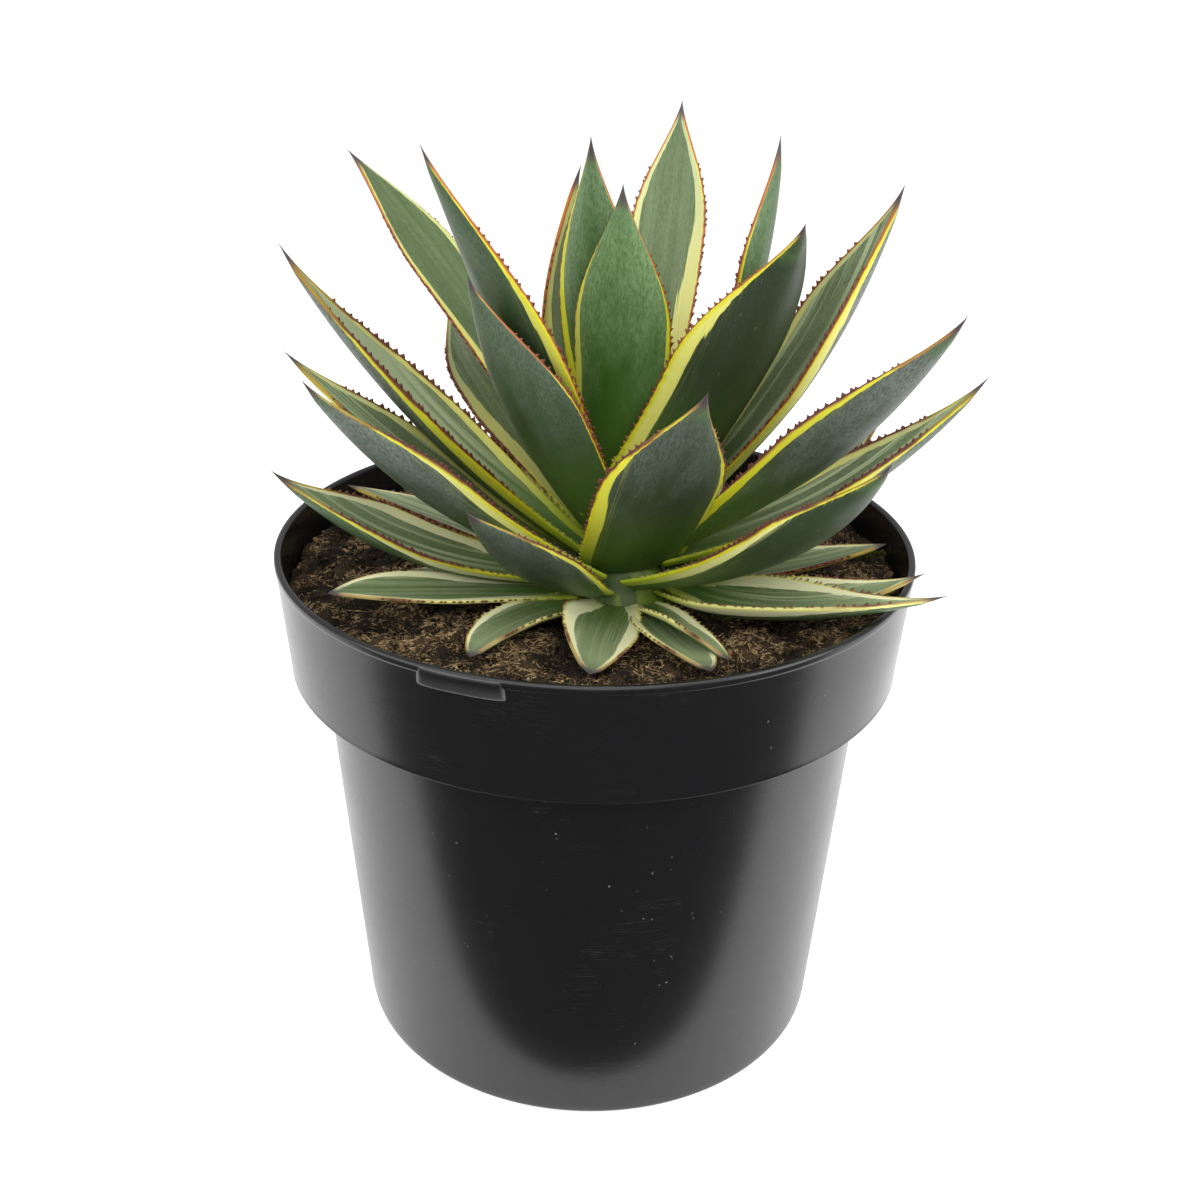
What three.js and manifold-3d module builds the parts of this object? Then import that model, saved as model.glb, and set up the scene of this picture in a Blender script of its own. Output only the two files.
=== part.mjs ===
// Variegated agave in a round nursery pot. Millimetres, +Z up, origin at the middle of the pot's underside.

import * as THREE from "three";
import { mergeVertices } from "three/addons/utils/BufferGeometryUtils.js";
import Module from "manifold-3d";

const wasm = await Module();
wasm.setup();

// Pot: a tapering wall with a wider collar round the top, and a rounded lip.
const POT_HEIGHT = 175.4;
const RIM_RADIUS = 105;
const COLLAR_FOOT_RADIUS = 101.7;
const COLLAR_FOOT_HEIGHT = 136;
const BODY_TOP_RADIUS = 91.4;
const BODY_FOOT_RADIUS = 81.4;
const WALL = 2;
const FLOOR = 2.5;
const LIP_RADIUS = 1.2;
const LIP_STEPS = 3;
const FOOT_CHAMFER = 3;
const POT_SIDES = 44;

const DRAIN_COUNT = 6;
const DRAIN_RADIUS = 6;
const DRAIN_CIRCLE_RADIUS = 55;
const DRAIN_SIDES = 12;
const CUT_CLEARANCE = 1;

// Moulded pocket for a plant label, proud of the collar just under the lip.
const POCKET_AZIMUTH = 249.5;
const POCKET_SPAN = 15.5;
const POCKET_DEPTH = 1.2;
const POCKET_TOP = 173.6;
const POCKET_HEIGHT = 4.4;
const POCKET_SINK = 0.3;
const POCKET_END_TAPER = 0.93;
const POCKET_SLOT_SPAN = 0.8;
const POCKET_SLOT_COVER = 0.35;
const POCKET_SLOT_WIDTH = 0.5;
const POCKET_SLOT_FLOOR = 1.5;
const POCKET_CURVE_SEGMENTS = 8;

// Soil: fills the pot to a little under the rim, with a shallow dish round the plant.
const SOIL_LEVEL = 163;
const SOIL_DISH_DEPTH = 4;
const SOIL_DISH_REACH = 58;
const SOIL_LUMP = 0.9;
const SOIL_LUMP_REACH = 1.6;
const SOIL_TOP_RINGS = 7;

// Stem: a short dome that carries the leaves. It stands a little off the pot's axis.
const STEM_X = 9;
const STEM_Y = -9;
const STEM_TOP_RADIUS = 2;
const STEM_FLARE = 17;
const STEM_TOP_HEIGHT = 187;
const STEM_DROP = 25;
const STEM_FOOT_HEIGHT = 148;
const STEM_FOOT_SHARE = 0.8;
const STEM_SHOULDER_DROP = 5;
const STEM_SINK = 2;
const STEM_SIDES = 16;
const STEM_RINGS = 5;
const STEM_ROUNDING = 1.2;
const CROWN_POWER = 0.8;

// Leaf blades.
const MARGIN_THICKNESS = 1.2;
const MIDRIB_THICKNESS = 1.7;
const BASE_THICKNESS = 3.6;
const THINNING_POWER = 1.5;
const SPINE_RADIUS = 0.9;
const SWELL_POWER = 1.3;
const BLUNT_TAPER = 0.62;
const SHARP_TAPER = 1.4;
const SHORT_SPINE = 3;
const LONG_SPINE = 8;
const CHANNEL_AT_BASE = 0.75;
const CHANNEL_AT_TIP = 1.25;
const BLADE_LANES = 4;
const BLADE_STATIONS = [0, 0.1, 0.25, 0.42, 0.6, 0.76, 0.88];
const TIP_CONE_SHARE = 0.7;

// Marginal teeth.
const TOOTH_HEIGHT = 1.1;
const TOOTH_RADIUS = 0.52;
const TOOTH_ROOT = 0.8;
const TOOTH_PITCH = 15;
const FIRST_TOOTHED_STATION = 2;
const TOOTH_LEAN = 0.35;
const TOOTH_JITTER = 0.25;
const TOOTH_SIDES = 3;

const GAP = 0.3;
const SEED = 45200;

// One row for each leaf, from the heart outwards: age from 0 (heart) to 1 (lowest ring), azimuth and rise of
// the line from base to tip in degrees, its length, greatest width, sag below that line, sway to the left,
// roll and channel in degrees, share of the line where it is widest, share of the width at the base, spine.
const LEAF_ROWS = [
  [0.03, 234, 82, 124, 29, -2, -4, 11, 29, 0.56, 0.6, 10],
  [0.05, 77, 58.5, 142.5, 26, -1, -2, 2, 31, 0.67, 0.4, 10],
  [0.08, 141.5, 82.5, 113, 26, 13, 3, 0, 34, 0.53, 0.6, 10],
  [0.14, 263, 82, 115.5, 31.5, 2, -1, -10, 34, 0.6, 0.7, 9],
  [0.14, 214, 63.3, 142, 35, 3, 4, 4, 32, 0.5, 0.6, 9],
  [0.15, 309.7, 59.7, 128.6, 48, -3, 14.5, -5, 55, 0.51, 1, 8],
  [0.18, 354, 74, 132, 30, 10, 3.5, -10, 36, 0.7, 0.5, 10],
  [0.26, 228, 59, 114, 40, 4, -3, -2, 52, 0.51, 0.66, 8],
  [0.3, 145, 46.5, 155, 30, 1, -9, 5, 8, 0.69, 0.36, 10],
  [0.3, 353, 59, 137.5, 35, 11, 7, 16, 57, 0.6, 0.5, 10],
  [0.35, 100, 58, 106, 27, 5, 0, 0, 35, 0.5, 0.62, 9],
  [0.5, 288, 53.7, 95.5, 40, 5, -3, -3, 30, 0.5, 0.9, 8],
  [0.45, 327, 45, 136, 34, 8, 6, -22, 57, 0.52, 0.66, 10],
  [0.5, 185, 48, 138, 33, 10, -7, -7, 70, 0.4, 0.52, 11],
  [0.5, 127.5, 33.5, 113, 33, -2, 1, -30, 46, 0.66, 0.3, 10],
  [0.5, 40, 42, 107, 25, 4, 3, 1, 36, 0.5, 0.6, 10],
  [0.55, 84, 38, 116, 27, 7, 0, 0, 38, 0.5, 0.62, 9],
  [0.58, 61, 30, 110, 26, 8, 0, 0, 38, 0.5, 0.62, 9],
  [0.62, 187, 39, 117, 25, 5, 0, -14, 42, 0.53, 0.6, 9],
  [0.6, 358, 34, 119, 32, 12, 2, 2, 66, 0.45, 0.7, 10],
  [0.62, 118, 27, 106, 26, 8, 0, 0, 38, 0.5, 0.62, 9],
  [0.65, 25, 30, 103, 26, 13, -2, 6, 33, 0.48, 0.6, 9],
  [0.74, 310.6, 37, 114, 35, 10, 5, -7, 52, 0.58, 0.95, 8],
  [0.72, 209, 41.4, 119, 34, 8, -4, 15, 58, 0.53, 1, 9],
  [0.85, 230, 39, 70, 32, 6, 5, 15, 38, 0.45, 0.6, 6],
  [0.8, 88, 17, 96, 24, 7, 0, 0, 38, 0.5, 0.62, 8],
  [0.85, 189, 24, 103, 30, 11, 0, -7, 68, 0.58, 0.6, 10],
  [0.85, 158, 10, 88, 20, 1, -1, 5, 34, 0.5, 0.6, 6],
  [0.85, 38, 10, 84, 20, 5, 0, 0, 36, 0.48, 0.62, 6],
  [0.85, 3, 9, 71, 21, 4, 1, 2, 39, 0.4, 0.6, 5],
  [0.88, 112, 9, 84, 22, 5, 0, 0, 36, 0.48, 0.62, 6],
  [0.88, 66, 8, 84, 21, 5, 0, 0, 36, 0.48, 0.62, 6],
  [0.9, 344, 11.5, 82, 22, 4, -12, 16, 41, 0.48, 0.6, 8],
  [0.95, 333, 12.5, 92, 30, 2, -12, 1, 66, 0.34, 0.54, 8],
  [0.95, 212, 13, 86.5, 22, 3, -8, -5, 22, 0.56, 0.58, 5],
  [0.95, 182, 3, 54, 13, -1, 0, 8, 36, 0.4, 0.6, 4],
  [1, 262.3, 5, 54, 26, -1, -2, -18, 39, 0.4, 0.68, 3],
  [1, 289, 6.5, 58, 21, 0, -1, -9, 28, 0.48, 0.3, 3],
  [1, 295, 7, 54, 15, -2, -2, -24, 38, 0.36, 0.6, 3],
  [1, 235, 5, 59, 22, 0, -5, 8, 41, 0.37, 0.6, 3],
];

const COLORS = {
  pot: 0x1b1b1c,
  soil: 0x4f3826,
  stem: 0x9aa860,
  youngLeaf: 0x2f5a35,
  oldLeaf: 0x6f8d55,
};
const ROUGHNESS = { pot: 0.42, soil: 0.95, stem: 0.7, leaf: 0.55 };

const radians = THREE.MathUtils.degToRad;
const clamp = THREE.MathUtils.clamp;
const mix = THREE.MathUtils.lerp;

// A small seeded generator, the same on each run.
function seededRandom(seed) {
  let state = seed >>> 0;
  return () => {
    state = (Math.imul(state, 1664525) + 1013904223) >>> 0;
    return state / 4294967296;
  };
}

function solidOf(geometry) {
  const bare = geometry.clone();
  bare.deleteAttribute("normal");
  bare.deleteAttribute("uv");
  const merged = mergeVertices(bare, 1e-4);
  return new wasm.Manifold(
    new wasm.Mesh({
      numProp: 3,
      vertProperties: new Float32Array(merged.attributes.position.array),
      triVerts: new Uint32Array(merged.index.array),
    }),
  );
}

// Only the largest body stays: a cut can leave a loose scrap of a margin or a tooth.
function largestBody(solid) {
  const bodies = solid.decompose();
  return bodies.reduce((best, body) => (body.volume() > best.volume() ? body : best));
}

function meshOf(name, solid, color, roughness) {
  const { numProp, vertProperties, triVerts } = solid.getMesh();
  const points = new Float32Array((vertProperties.length / numProp) * 3);
  for (let i = 0; i < points.length / 3; i++) {
    points.set(vertProperties.subarray(i * numProp, i * numProp + 3), i * 3);
  }
  const geometry = new THREE.BufferGeometry();
  geometry.setAttribute("position", new THREE.BufferAttribute(points, 3));
  geometry.setIndex(new THREE.BufferAttribute(new Uint32Array(triVerts), 1));
  geometry.computeVertexNormals();
  const material = new THREE.MeshStandardMaterial({ color, roughness, metalness: 0 });
  const mesh = new THREE.Mesh(geometry, material);
  mesh.name = name;
  return mesh;
}

// Turns a profile of [radius, height] pairs, listed upwards along the outside, about the vertical axis.
function turned(profile, sides) {
  const points = profile.map(([radius, height]) => new THREE.Vector2(radius, height));
  return new THREE.LatheGeometry(points, sides).rotateX(Math.PI / 2);
}

function upright(radius, bottom, top, sides, x, y) {
  const cylinder = new THREE.CylinderGeometry(radius, radius, top - bottom, sides);
  return solidOf(cylinder.rotateX(Math.PI / 2).translate(x, y, (top + bottom) / 2));
}

function collarInnerRadius(height) {
  const share = (height - COLLAR_FOOT_HEIGHT) / (POT_HEIGHT - COLLAR_FOOT_HEIGHT);
  return mix(COLLAR_FOOT_RADIUS, RIM_RADIUS, share) - WALL;
}

function potSolid() {
  const lip = [];
  for (let step = 0; step <= LIP_STEPS; step++) {
    const angle = (step / LIP_STEPS) * Math.PI;
    lip.push([
      RIM_RADIUS - LIP_RADIUS + LIP_RADIUS * Math.cos(angle),
      POT_HEIGHT - LIP_RADIUS + LIP_RADIUS * Math.sin(angle),
    ]);
  }
  const ledge = COLLAR_FOOT_HEIGHT + WALL;
  const profile = [
    [0, 0],
    [BODY_FOOT_RADIUS - FOOT_CHAMFER, 0],
    [BODY_FOOT_RADIUS, FOOT_CHAMFER],
    [BODY_TOP_RADIUS, COLLAR_FOOT_HEIGHT],
    [COLLAR_FOOT_RADIUS, COLLAR_FOOT_HEIGHT],
    ...lip,
    [collarInnerRadius(ledge), ledge],
    [BODY_TOP_RADIUS - WALL, ledge],
    [BODY_FOOT_RADIUS - WALL, FLOOR],
    [0, FLOOR],
  ];
  let pot = solidOf(turned(profile, POT_SIDES)).add(labelPocket());
  const top = FLOOR + CUT_CLEARANCE;
  for (let hole = 0; hole < DRAIN_COUNT; hole++) {
    const angle = radians((hole * 360) / DRAIN_COUNT);
    const x = DRAIN_CIRCLE_RADIUS * Math.cos(angle);
    const y = DRAIN_CIRCLE_RADIUS * Math.sin(angle);
    pot = pot.subtract(upright(DRAIN_RADIUS, -CUT_CLEARANCE, top, DRAIN_SIDES, x, y));
  }
  return pot;
}

// A curved bar on the collar, with its ends rounded off to the wall, and a slot along its top.
function labelPocket() {
  const half = radians(POCKET_SPAN / 2);
  const inner = RIM_RADIUS - WALL / 2 - POCKET_SINK;
  const outer = RIM_RADIUS + POCKET_DEPTH - POCKET_SINK;
  const outerHalf = half * POCKET_END_TAPER;
  const outline = new THREE.Shape();
  outline.absarc(0, 0, outer, -outerHalf, outerHalf, false);
  outline.absarc(0, 0, inner, half, -half, true);
  const slotOuter = outer - POCKET_SLOT_COVER;
  const slotHalf = half * POCKET_SLOT_SPAN;
  const slot = new THREE.Shape();
  slot.absarc(0, 0, slotOuter, -slotHalf, slotHalf, false);
  slot.absarc(0, 0, slotOuter - POCKET_SLOT_WIDTH, slotHalf, -slotHalf, true);
  const options = { depth: POCKET_HEIGHT, bevelEnabled: false, curveSegments: POCKET_CURVE_SEGMENTS };
  const place = (shape, lift) => {
    const geometry = new THREE.ExtrudeGeometry(shape, options);
    geometry.rotateZ(radians(POCKET_AZIMUTH));
    geometry.translate(0, 0, POCKET_TOP - POCKET_HEIGHT + lift);
    return solidOf(geometry);
  };
  return place(outline, 0).subtract(place(slot, POCKET_SLOT_FLOOR));
}

// Height of the soil at a place: a shallow dish round the plant, and low lumps.
function soilHeight(x, y) {
  const away = clamp(Math.hypot(x - STEM_X, y - STEM_Y) / SOIL_DISH_REACH, 0, 1);
  const dish = SOIL_DISH_DEPTH * (1 - away * away);
  const lumps =
    Math.sin(x * 0.21 + 1.3) * Math.cos(y * 0.17 - 0.6) + 0.6 * Math.sin(x * 0.37 - y * 0.31);
  return SOIL_LEVEL - dish + SOIL_LUMP * lumps;
}

function soilSolid() {
  const ledge = COLLAR_FOOT_HEIGHT + WALL + GAP;
  const topRadius = collarInnerRadius(SOIL_LEVEL - SOIL_LUMP * SOIL_LUMP_REACH) - GAP;
  const profile = [
    [0, FLOOR + GAP],
    [BODY_FOOT_RADIUS - WALL - GAP, FLOOR + GAP],
    [BODY_TOP_RADIUS - WALL - GAP, ledge],
    [collarInnerRadius(ledge) - GAP, ledge],
  ];
  for (let ring = 0; ring <= SOIL_TOP_RINGS; ring++) {
    profile.push([topRadius * (1 - ring / SOIL_TOP_RINGS), SOIL_LEVEL]);
  }
  const geometry = turned(profile, POT_SIDES);
  const position = geometry.attributes.position;
  for (let i = 0; i < position.count; i++) {
    if (position.getZ(i) > SOIL_LEVEL - 1) {
      position.setZ(i, soilHeight(position.getX(i), position.getY(i)));
    }
  }
  const wellRadius = STEM_TOP_RADIUS + STEM_FLARE + GAP;
  const wellTop = SOIL_LEVEL + STEM_DROP;
  const well = upright(wellRadius, STEM_FOOT_HEIGHT - CUT_CLEARANCE, wellTop, STEM_SIDES, STEM_X, STEM_Y);
  return solidOf(geometry).subtract(well);
}

// The crown's surface, where a leaf of this age grows from: a point at this azimuth.
function crownPoint(age, azimuth) {
  const spread = age ** CROWN_POWER;
  const radius = STEM_TOP_RADIUS + STEM_FLARE * spread;
  return new THREE.Vector3(
    STEM_X + radius * Math.cos(azimuth),
    STEM_Y + radius * Math.sin(azimuth),
    STEM_TOP_HEIGHT - STEM_DROP * spread,
  );
}

function stemSolid(inflate) {
  const lowRadius = STEM_TOP_RADIUS + STEM_FLARE + inflate;
  const profile = [
    [0, STEM_FOOT_HEIGHT - inflate],
    [lowRadius * STEM_FOOT_SHARE, STEM_FOOT_HEIGHT - inflate],
    [lowRadius, STEM_TOP_HEIGHT - STEM_DROP - STEM_SHOULDER_DROP],
  ];
  for (let ring = 0; ring < STEM_RINGS; ring++) {
    const spread = (1 - ring / STEM_RINGS) ** STEM_ROUNDING;
    profile.push([
      STEM_TOP_RADIUS + STEM_FLARE * spread + inflate,
      STEM_TOP_HEIGHT - STEM_DROP * spread - STEM_SINK + inflate,
    ]);
  }
  profile.push([0, STEM_TOP_HEIGHT - STEM_SINK + inflate]);
  return solidOf(turned(profile, STEM_SIDES).translate(STEM_X, STEM_Y, 0));
}

function leafFrom([age, azimuth, rise, reach, width, sag, sway, roll, channel, widest, base, spine]) {
  const turn = radians(azimuth);
  const lift = radians(rise);
  const side = new THREE.Vector3(-Math.sin(turn), Math.cos(turn), 0);
  const chord = new THREE.Vector3(
    Math.cos(turn) * Math.cos(lift),
    Math.sin(turn) * Math.cos(lift),
    Math.sin(lift),
  );
  const inner = new THREE.Vector3().crossVectors(chord, side);
  return {
    age,
    reach,
    width,
    widest,
    base,
    spine,
    side,
    chord,
    inner,
    sag,
    sway,
    roll: radians(roll),
    channel: radians(channel),
    root: crownPoint(age, turn),
  };
}

// Share of the greatest width along the leaf, from its base at 0 to its tip at 1. A leaf with a long spine is
// drawn out into it, and one with a short spine ends bluntly.
function widthShare(leaf, t) {
  if (t < leaf.widest) {
    return mix(leaf.base, 1, Math.sin((Math.PI / 2) * (t / leaf.widest)) ** SWELL_POWER);
  }
  const drawnOut = clamp((leaf.spine - SHORT_SPINE) / (LONG_SPINE - SHORT_SPINE), 0, 1);
  const taper = mix(BLUNT_TAPER, SHARP_TAPER, drawnOut);
  return Math.sin((Math.PI / 2) * ((1 - t) / (1 - leaf.widest))) ** taper;
}

// The centre line bows like a parabola between base and tip, and the section is an arc open to the heart.
// A sleeve is the same blade, wider and thicker by the gap, with room for its teeth.
function sectionAt(leaf, t, sleeve = false) {
  const bow = 4 * t * (1 - t);
  const slope = 4 * (1 - 2 * t);
  const centre = leaf.root
    .clone()
    .addScaledVector(leaf.chord, leaf.reach * t)
    .addScaledVector(leaf.inner, -leaf.sag * bow)
    .addScaledVector(leaf.side, leaf.sway * bow);
  const along = leaf.chord
    .clone()
    .multiplyScalar(leaf.reach)
    .addScaledVector(leaf.inner, -leaf.sag * slope)
    .addScaledVector(leaf.side, leaf.sway * slope)
    .normalize();
  const across = leaf.side.clone().addScaledVector(along, -along.dot(leaf.side)).normalize();
  across.applyAxisAngle(along, leaf.roll * clamp(2 * t, 0, 1));
  const up = new THREE.Vector3().crossVectors(along, across);
  const spineShare = leaf.spine / leaf.reach;
  const spineHalf = SPINE_RADIUS * clamp((1 - t) / spineShare, 0, 1);
  const extra = sleeve ? TOOTH_HEIGHT + GAP : 0;
  const half = Math.max((leaf.width / 2) * widthShare(leaf, t), spineHalf) + extra;
  const bend = leaf.channel * mix(CHANNEL_AT_BASE, CHANNEL_AT_TIP, t);
  const middle = mix(MIDRIB_THICKNESS, BASE_THICKNESS, (1 - t) ** THINNING_POWER);
  return { centre, along, across, up, half, bend, middle, spineHalf, gap: sleeve ? GAP : 0 };
}

// A point of the blade: lane runs from -1 to 1 across it, face is 1 on the upper side and -1 below.
function bladePoint(section, lane, face) {
  const { centre, across, up, half, bend, middle, spineHalf, gap } = section;
  const arc = bend * lane;
  const edge = Math.min(MARGIN_THICKNESS, 2 * spineHalf);
  const thickness = edge + (Math.max(middle, edge) - edge) * (1 - lane * lane) + 2 * gap;
  const outward = face * Math.max(thickness / 2, spineHalf * Math.sqrt(1 - lane * lane));
  return centre
    .clone()
    .addScaledVector(across, (half * Math.sin(arc)) / bend - outward * Math.sin(arc))
    .addScaledVector(up, (half * (1 - Math.cos(arc))) / bend + outward * Math.cos(arc));
}

// A closed blade: one ring of points at each station, upper side then lower, both split alike, and a tip.
function bladeSolid(sections, tip) {
  const size = 2 * (BLADE_LANES + 1);
  const points = [];
  for (const section of sections) {
    for (let k = 0; k < size; k++) {
      const face = k <= BLADE_LANES ? 1 : -1;
      const column = face > 0 ? k : size - 1 - k;
      points.push(bladePoint(section, (2 * column) / BLADE_LANES - 1, face));
    }
  }
  const faces = [];
  for (let ring = 0; ring + 1 < sections.length; ring++) {
    for (let k = 0; k < size; k++) {
      const a = ring * size + k;
      const b = ring * size + ((k + 1) % size);
      const c = b + size;
      const d = a + size;
      if (k <= BLADE_LANES) faces.push(a, c, b, a, d, c);
      else faces.push(a, d, b, b, d, c);
    }
  }
  for (let k = 0; k < BLADE_LANES; k++) {
    const below = size - 1 - k;
    faces.push(k, k + 1, below, k + 1, below - 1, below);
  }
  const last = (sections.length - 1) * size;
  for (let k = 0; k < size; k++) {
    faces.push(last + k, points.length, last + ((k + 1) % size));
  }
  const geometry = new THREE.BufferGeometry().setFromPoints([...points, tip]);
  geometry.setIndex(faces);
  return solidOf(geometry);
}

// The middle of the margin's edge, and the way its teeth point: outwards and a little towards the tip.
function marginAt(section, margin) {
  const { across, up, along, bend } = section;
  const point = bladePoint(section, margin, 1).add(bladePoint(section, margin, -1)).multiplyScalar(0.5);
  const outward = across
    .clone()
    .multiplyScalar(margin * Math.cos(bend))
    .addScaledVector(up, Math.sin(bend))
    .addScaledVector(along, TOOTH_LEAN);
  return { point, outward };
}

// Three-sided teeth along both margins, spaced out between each two stations, with their roots sunk in.
function leafTeeth(sections, random) {
  const teeth = [];
  for (const margin of [-1, 1]) {
    for (let i = FIRST_TOOTHED_STATION; i + 1 < sections.length; i++) {
      const from = marginAt(sections[i], margin);
      const to = marginAt(sections[i + 1], margin);
      const count = Math.round(from.point.distanceTo(to.point) / TOOTH_PITCH);
      for (let j = 0; j < count; j++) {
        const share = (j + 0.5 + (random() - 0.5) * TOOTH_JITTER) / count;
        const outward = from.outward.clone().lerp(to.outward, share).normalize();
        const middle = from.point
          .clone()
          .lerp(to.point, share)
          .addScaledVector(outward, (TOOTH_HEIGHT - TOOTH_ROOT) / 2);
        const turn = new THREE.Quaternion().setFromUnitVectors(new THREE.Vector3(0, 1, 0), outward);
        const cone = new THREE.ConeGeometry(TOOTH_RADIUS, TOOTH_HEIGHT + TOOTH_ROOT, TOOTH_SIDES);
        teeth.push(solidOf(cone.applyQuaternion(turn).translate(middle.x, middle.y, middle.z)));
      }
    }
  }
  return teeth;
}

function overlaps(a, b) {
  const first = a.boundingBox();
  const second = b.boundingBox();
  const meets = (axis) => first.min[axis] <= second.max[axis] && second.min[axis] <= first.max[axis];
  return [0, 1, 2].every(meets);
}

// Each leaf gives way to the stem and to the younger leaves inside it, where the bases crowd together.
function leafSolids(stemSleeve) {
  const random = seededRandom(SEED);
  const sleeves = [stemSleeve];
  return LEAF_ROWS.map(leafFrom).map((leaf) => {
    const stations = [...BLADE_STATIONS, 1 - (TIP_CONE_SHARE * leaf.spine) / leaf.reach];
    const sections = stations.map((station) => sectionAt(leaf, station));
    const tip = sectionAt(leaf, 1).centre;
    let solid = bladeSolid(sections, tip);
    for (const tooth of leafTeeth(sections, random)) solid = solid.add(tooth);
    for (const sleeve of sleeves) {
      if (overlaps(solid, sleeve)) solid = solid.subtract(sleeve);
    }
    sleeves.push(bladeSolid(stations.map((station) => sectionAt(leaf, station, true)), tip));
    return { leaf, solid: largestBody(solid) };
  });
}

const group = new THREE.Group();
group.add(meshOf("pot", potSolid(), COLORS.pot, ROUGHNESS.pot));
group.add(meshOf("stem", stemSolid(0), COLORS.stem, ROUGHNESS.stem));
leafSolids(stemSolid(GAP)).forEach(({ leaf, solid }, index) => {
  const color = new THREE.Color(COLORS.youngLeaf).lerp(new THREE.Color(COLORS.oldLeaf), leaf.age);
  group.add(meshOf("leaf_" + String(index + 1).padStart(2, "0"), solid, color, ROUGHNESS.leaf));
});
group.add(meshOf("soil", soilSolid(), COLORS.soil, ROUGHNESS.soil));

export default group;
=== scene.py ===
"""Variegated agave in a black nursery pot: its visible pieces, finishes, studio and camera.

Sizes are millimetres in the classes below and become metres where a mesh is made. +Z is up and the
origin is the middle of the pot's underside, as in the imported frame.
"""

from __future__ import annotations

import logging
import math
from dataclasses import dataclass, field
from enum import Enum

import bpy
import numpy as np
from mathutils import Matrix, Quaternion, Vector

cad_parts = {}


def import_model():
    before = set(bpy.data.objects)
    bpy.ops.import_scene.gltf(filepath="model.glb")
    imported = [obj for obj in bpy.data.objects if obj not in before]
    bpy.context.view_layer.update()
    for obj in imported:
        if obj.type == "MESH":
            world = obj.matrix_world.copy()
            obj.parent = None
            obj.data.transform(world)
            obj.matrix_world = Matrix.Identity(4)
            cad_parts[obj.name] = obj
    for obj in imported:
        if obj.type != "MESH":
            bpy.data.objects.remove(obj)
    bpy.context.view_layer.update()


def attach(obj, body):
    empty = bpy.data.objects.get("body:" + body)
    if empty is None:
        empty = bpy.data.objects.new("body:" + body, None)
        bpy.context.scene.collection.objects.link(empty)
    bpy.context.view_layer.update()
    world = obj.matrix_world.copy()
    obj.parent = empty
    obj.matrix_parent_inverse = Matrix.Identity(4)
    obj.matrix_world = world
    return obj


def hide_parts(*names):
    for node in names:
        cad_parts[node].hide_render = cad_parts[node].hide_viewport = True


MM = 0.001
SEED = 45200
BODY = "root"
LOG = logging.getLogger("agave")

Array = np.ndarray
Colour = tuple[float, float, float]
Socket = bpy.types.NodeSocket

CORNER_SHARE = 0.48  # the most of a straight leg that one rounded corner may take
VECTORS = ("grain", "tint")  # leaf attributes with three numbers a point
FACE_SHIFT = 0.05  # metres between the patterns of a leaf's two faces
LEAF_SHIFT = 1.37  # step between the patterns of two leaves


class Slot(Enum):
    """The record's material slots."""

    POT = "pot"
    SOIL = "soil"
    STEM = "stem"
    LEAF = "leaf"


# ------------------------------------------------------------------------------ geometry


def smoothstep(low: float, high: float, value: Array) -> Array:
    """Eases from 0 at low to 1 at high: 3s^2 - 2s^3 with s the clamped share of the way.

    Args:
        low: Value that gives 0.
        high: Value that gives 1.
        value: Numbers to ease.

    Returns:
        The eased shares, in the shape of value.
    """
    share = np.clip((value - low) / (high - low), 0.0, 1.0)
    return share * share * (3.0 - 2.0 * share)


def unit(vectors: Array) -> Array:
    """Returns the vectors along the last axis, each divided by its length."""
    return vectors / np.linalg.norm(vectors, axis=-1, keepdims=True)


def turn_about(vectors: Array, axes: Array, angles: Array) -> Array:
    """Turns each vector about its own unit axis by Rodrigues' formula.

    v' = v cos(a) + (k x v) sin(a) + k (k . v)(1 - cos(a)).

    Args:
        vectors: N x 3 vectors.
        axes: N x 3 unit axes.
        angles: N angles in radians.

    Returns:
        N x 3 turned vectors.
    """
    cosine, sine = np.cos(angles)[:, None], np.sin(angles)[:, None]
    along = np.sum(vectors * axes, axis=1, keepdims=True) * axes
    return vectors * cosine + np.cross(axes, vectors) * sine + along * (1.0 - cosine)


def ring_quads(rings: int, size: int) -> Array:
    """Quads between each ring of points and the next, closed round each ring.

    Args:
        rings: Number of rings.
        size: Points in a ring.

    Returns:
        M x 4 vertex indices; ring r, point k is vertex r * size + k.
    """
    ring, point = np.meshgrid(np.arange(rings - 1), np.arange(size), indexing="ij")
    after = (point + 1) % size
    low, high = ring * size, (ring + 1) * size
    return np.stack([low + point, low + after, high + after, high + point], axis=-1).reshape(-1, 4)


def pole_triangles(ring: int, size: int, pole: int, last: bool) -> Array:
    """Triangles from one ring to a pole vertex.

    Args:
        ring: Index of the ring.
        size: Points in a ring.
        pole: Vertex index of the pole.
        last: True for the pole after the last ring, False for the one before the first.

    Returns:
        size x 3 vertex indices, wound like ring_quads.
    """
    point = np.arange(size)
    after = (point + 1) % size
    start = ring * size
    first, second = (start + point, start + after) if last else (start + after, start + point)
    return np.stack([first, second, np.full(size, pole)], axis=-1)


def tube_faces(rings: int, size: int) -> list[Array]:
    """Faces of a closed tube: quads between its rings, and a fan to a pole at each end.

    Args:
        rings: Number of rings.
        size: Points in a ring.

    Returns:
        Quads and triangles; the poles are the two vertices after the last ring.
    """
    count = rings * size
    first = pole_triangles(0, size, count, last=False)
    last = pole_triangles(rings - 1, size, count + 1, last=True)
    return [ring_quads(rings, size), np.concatenate([first, last])]


def loop_faces(rings: int, size: int) -> list[Array]:
    """Returns the quads of a tube whose last ring meets its first."""
    return [ring_quads(rings + 1, size) % (rings * size)]


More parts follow.
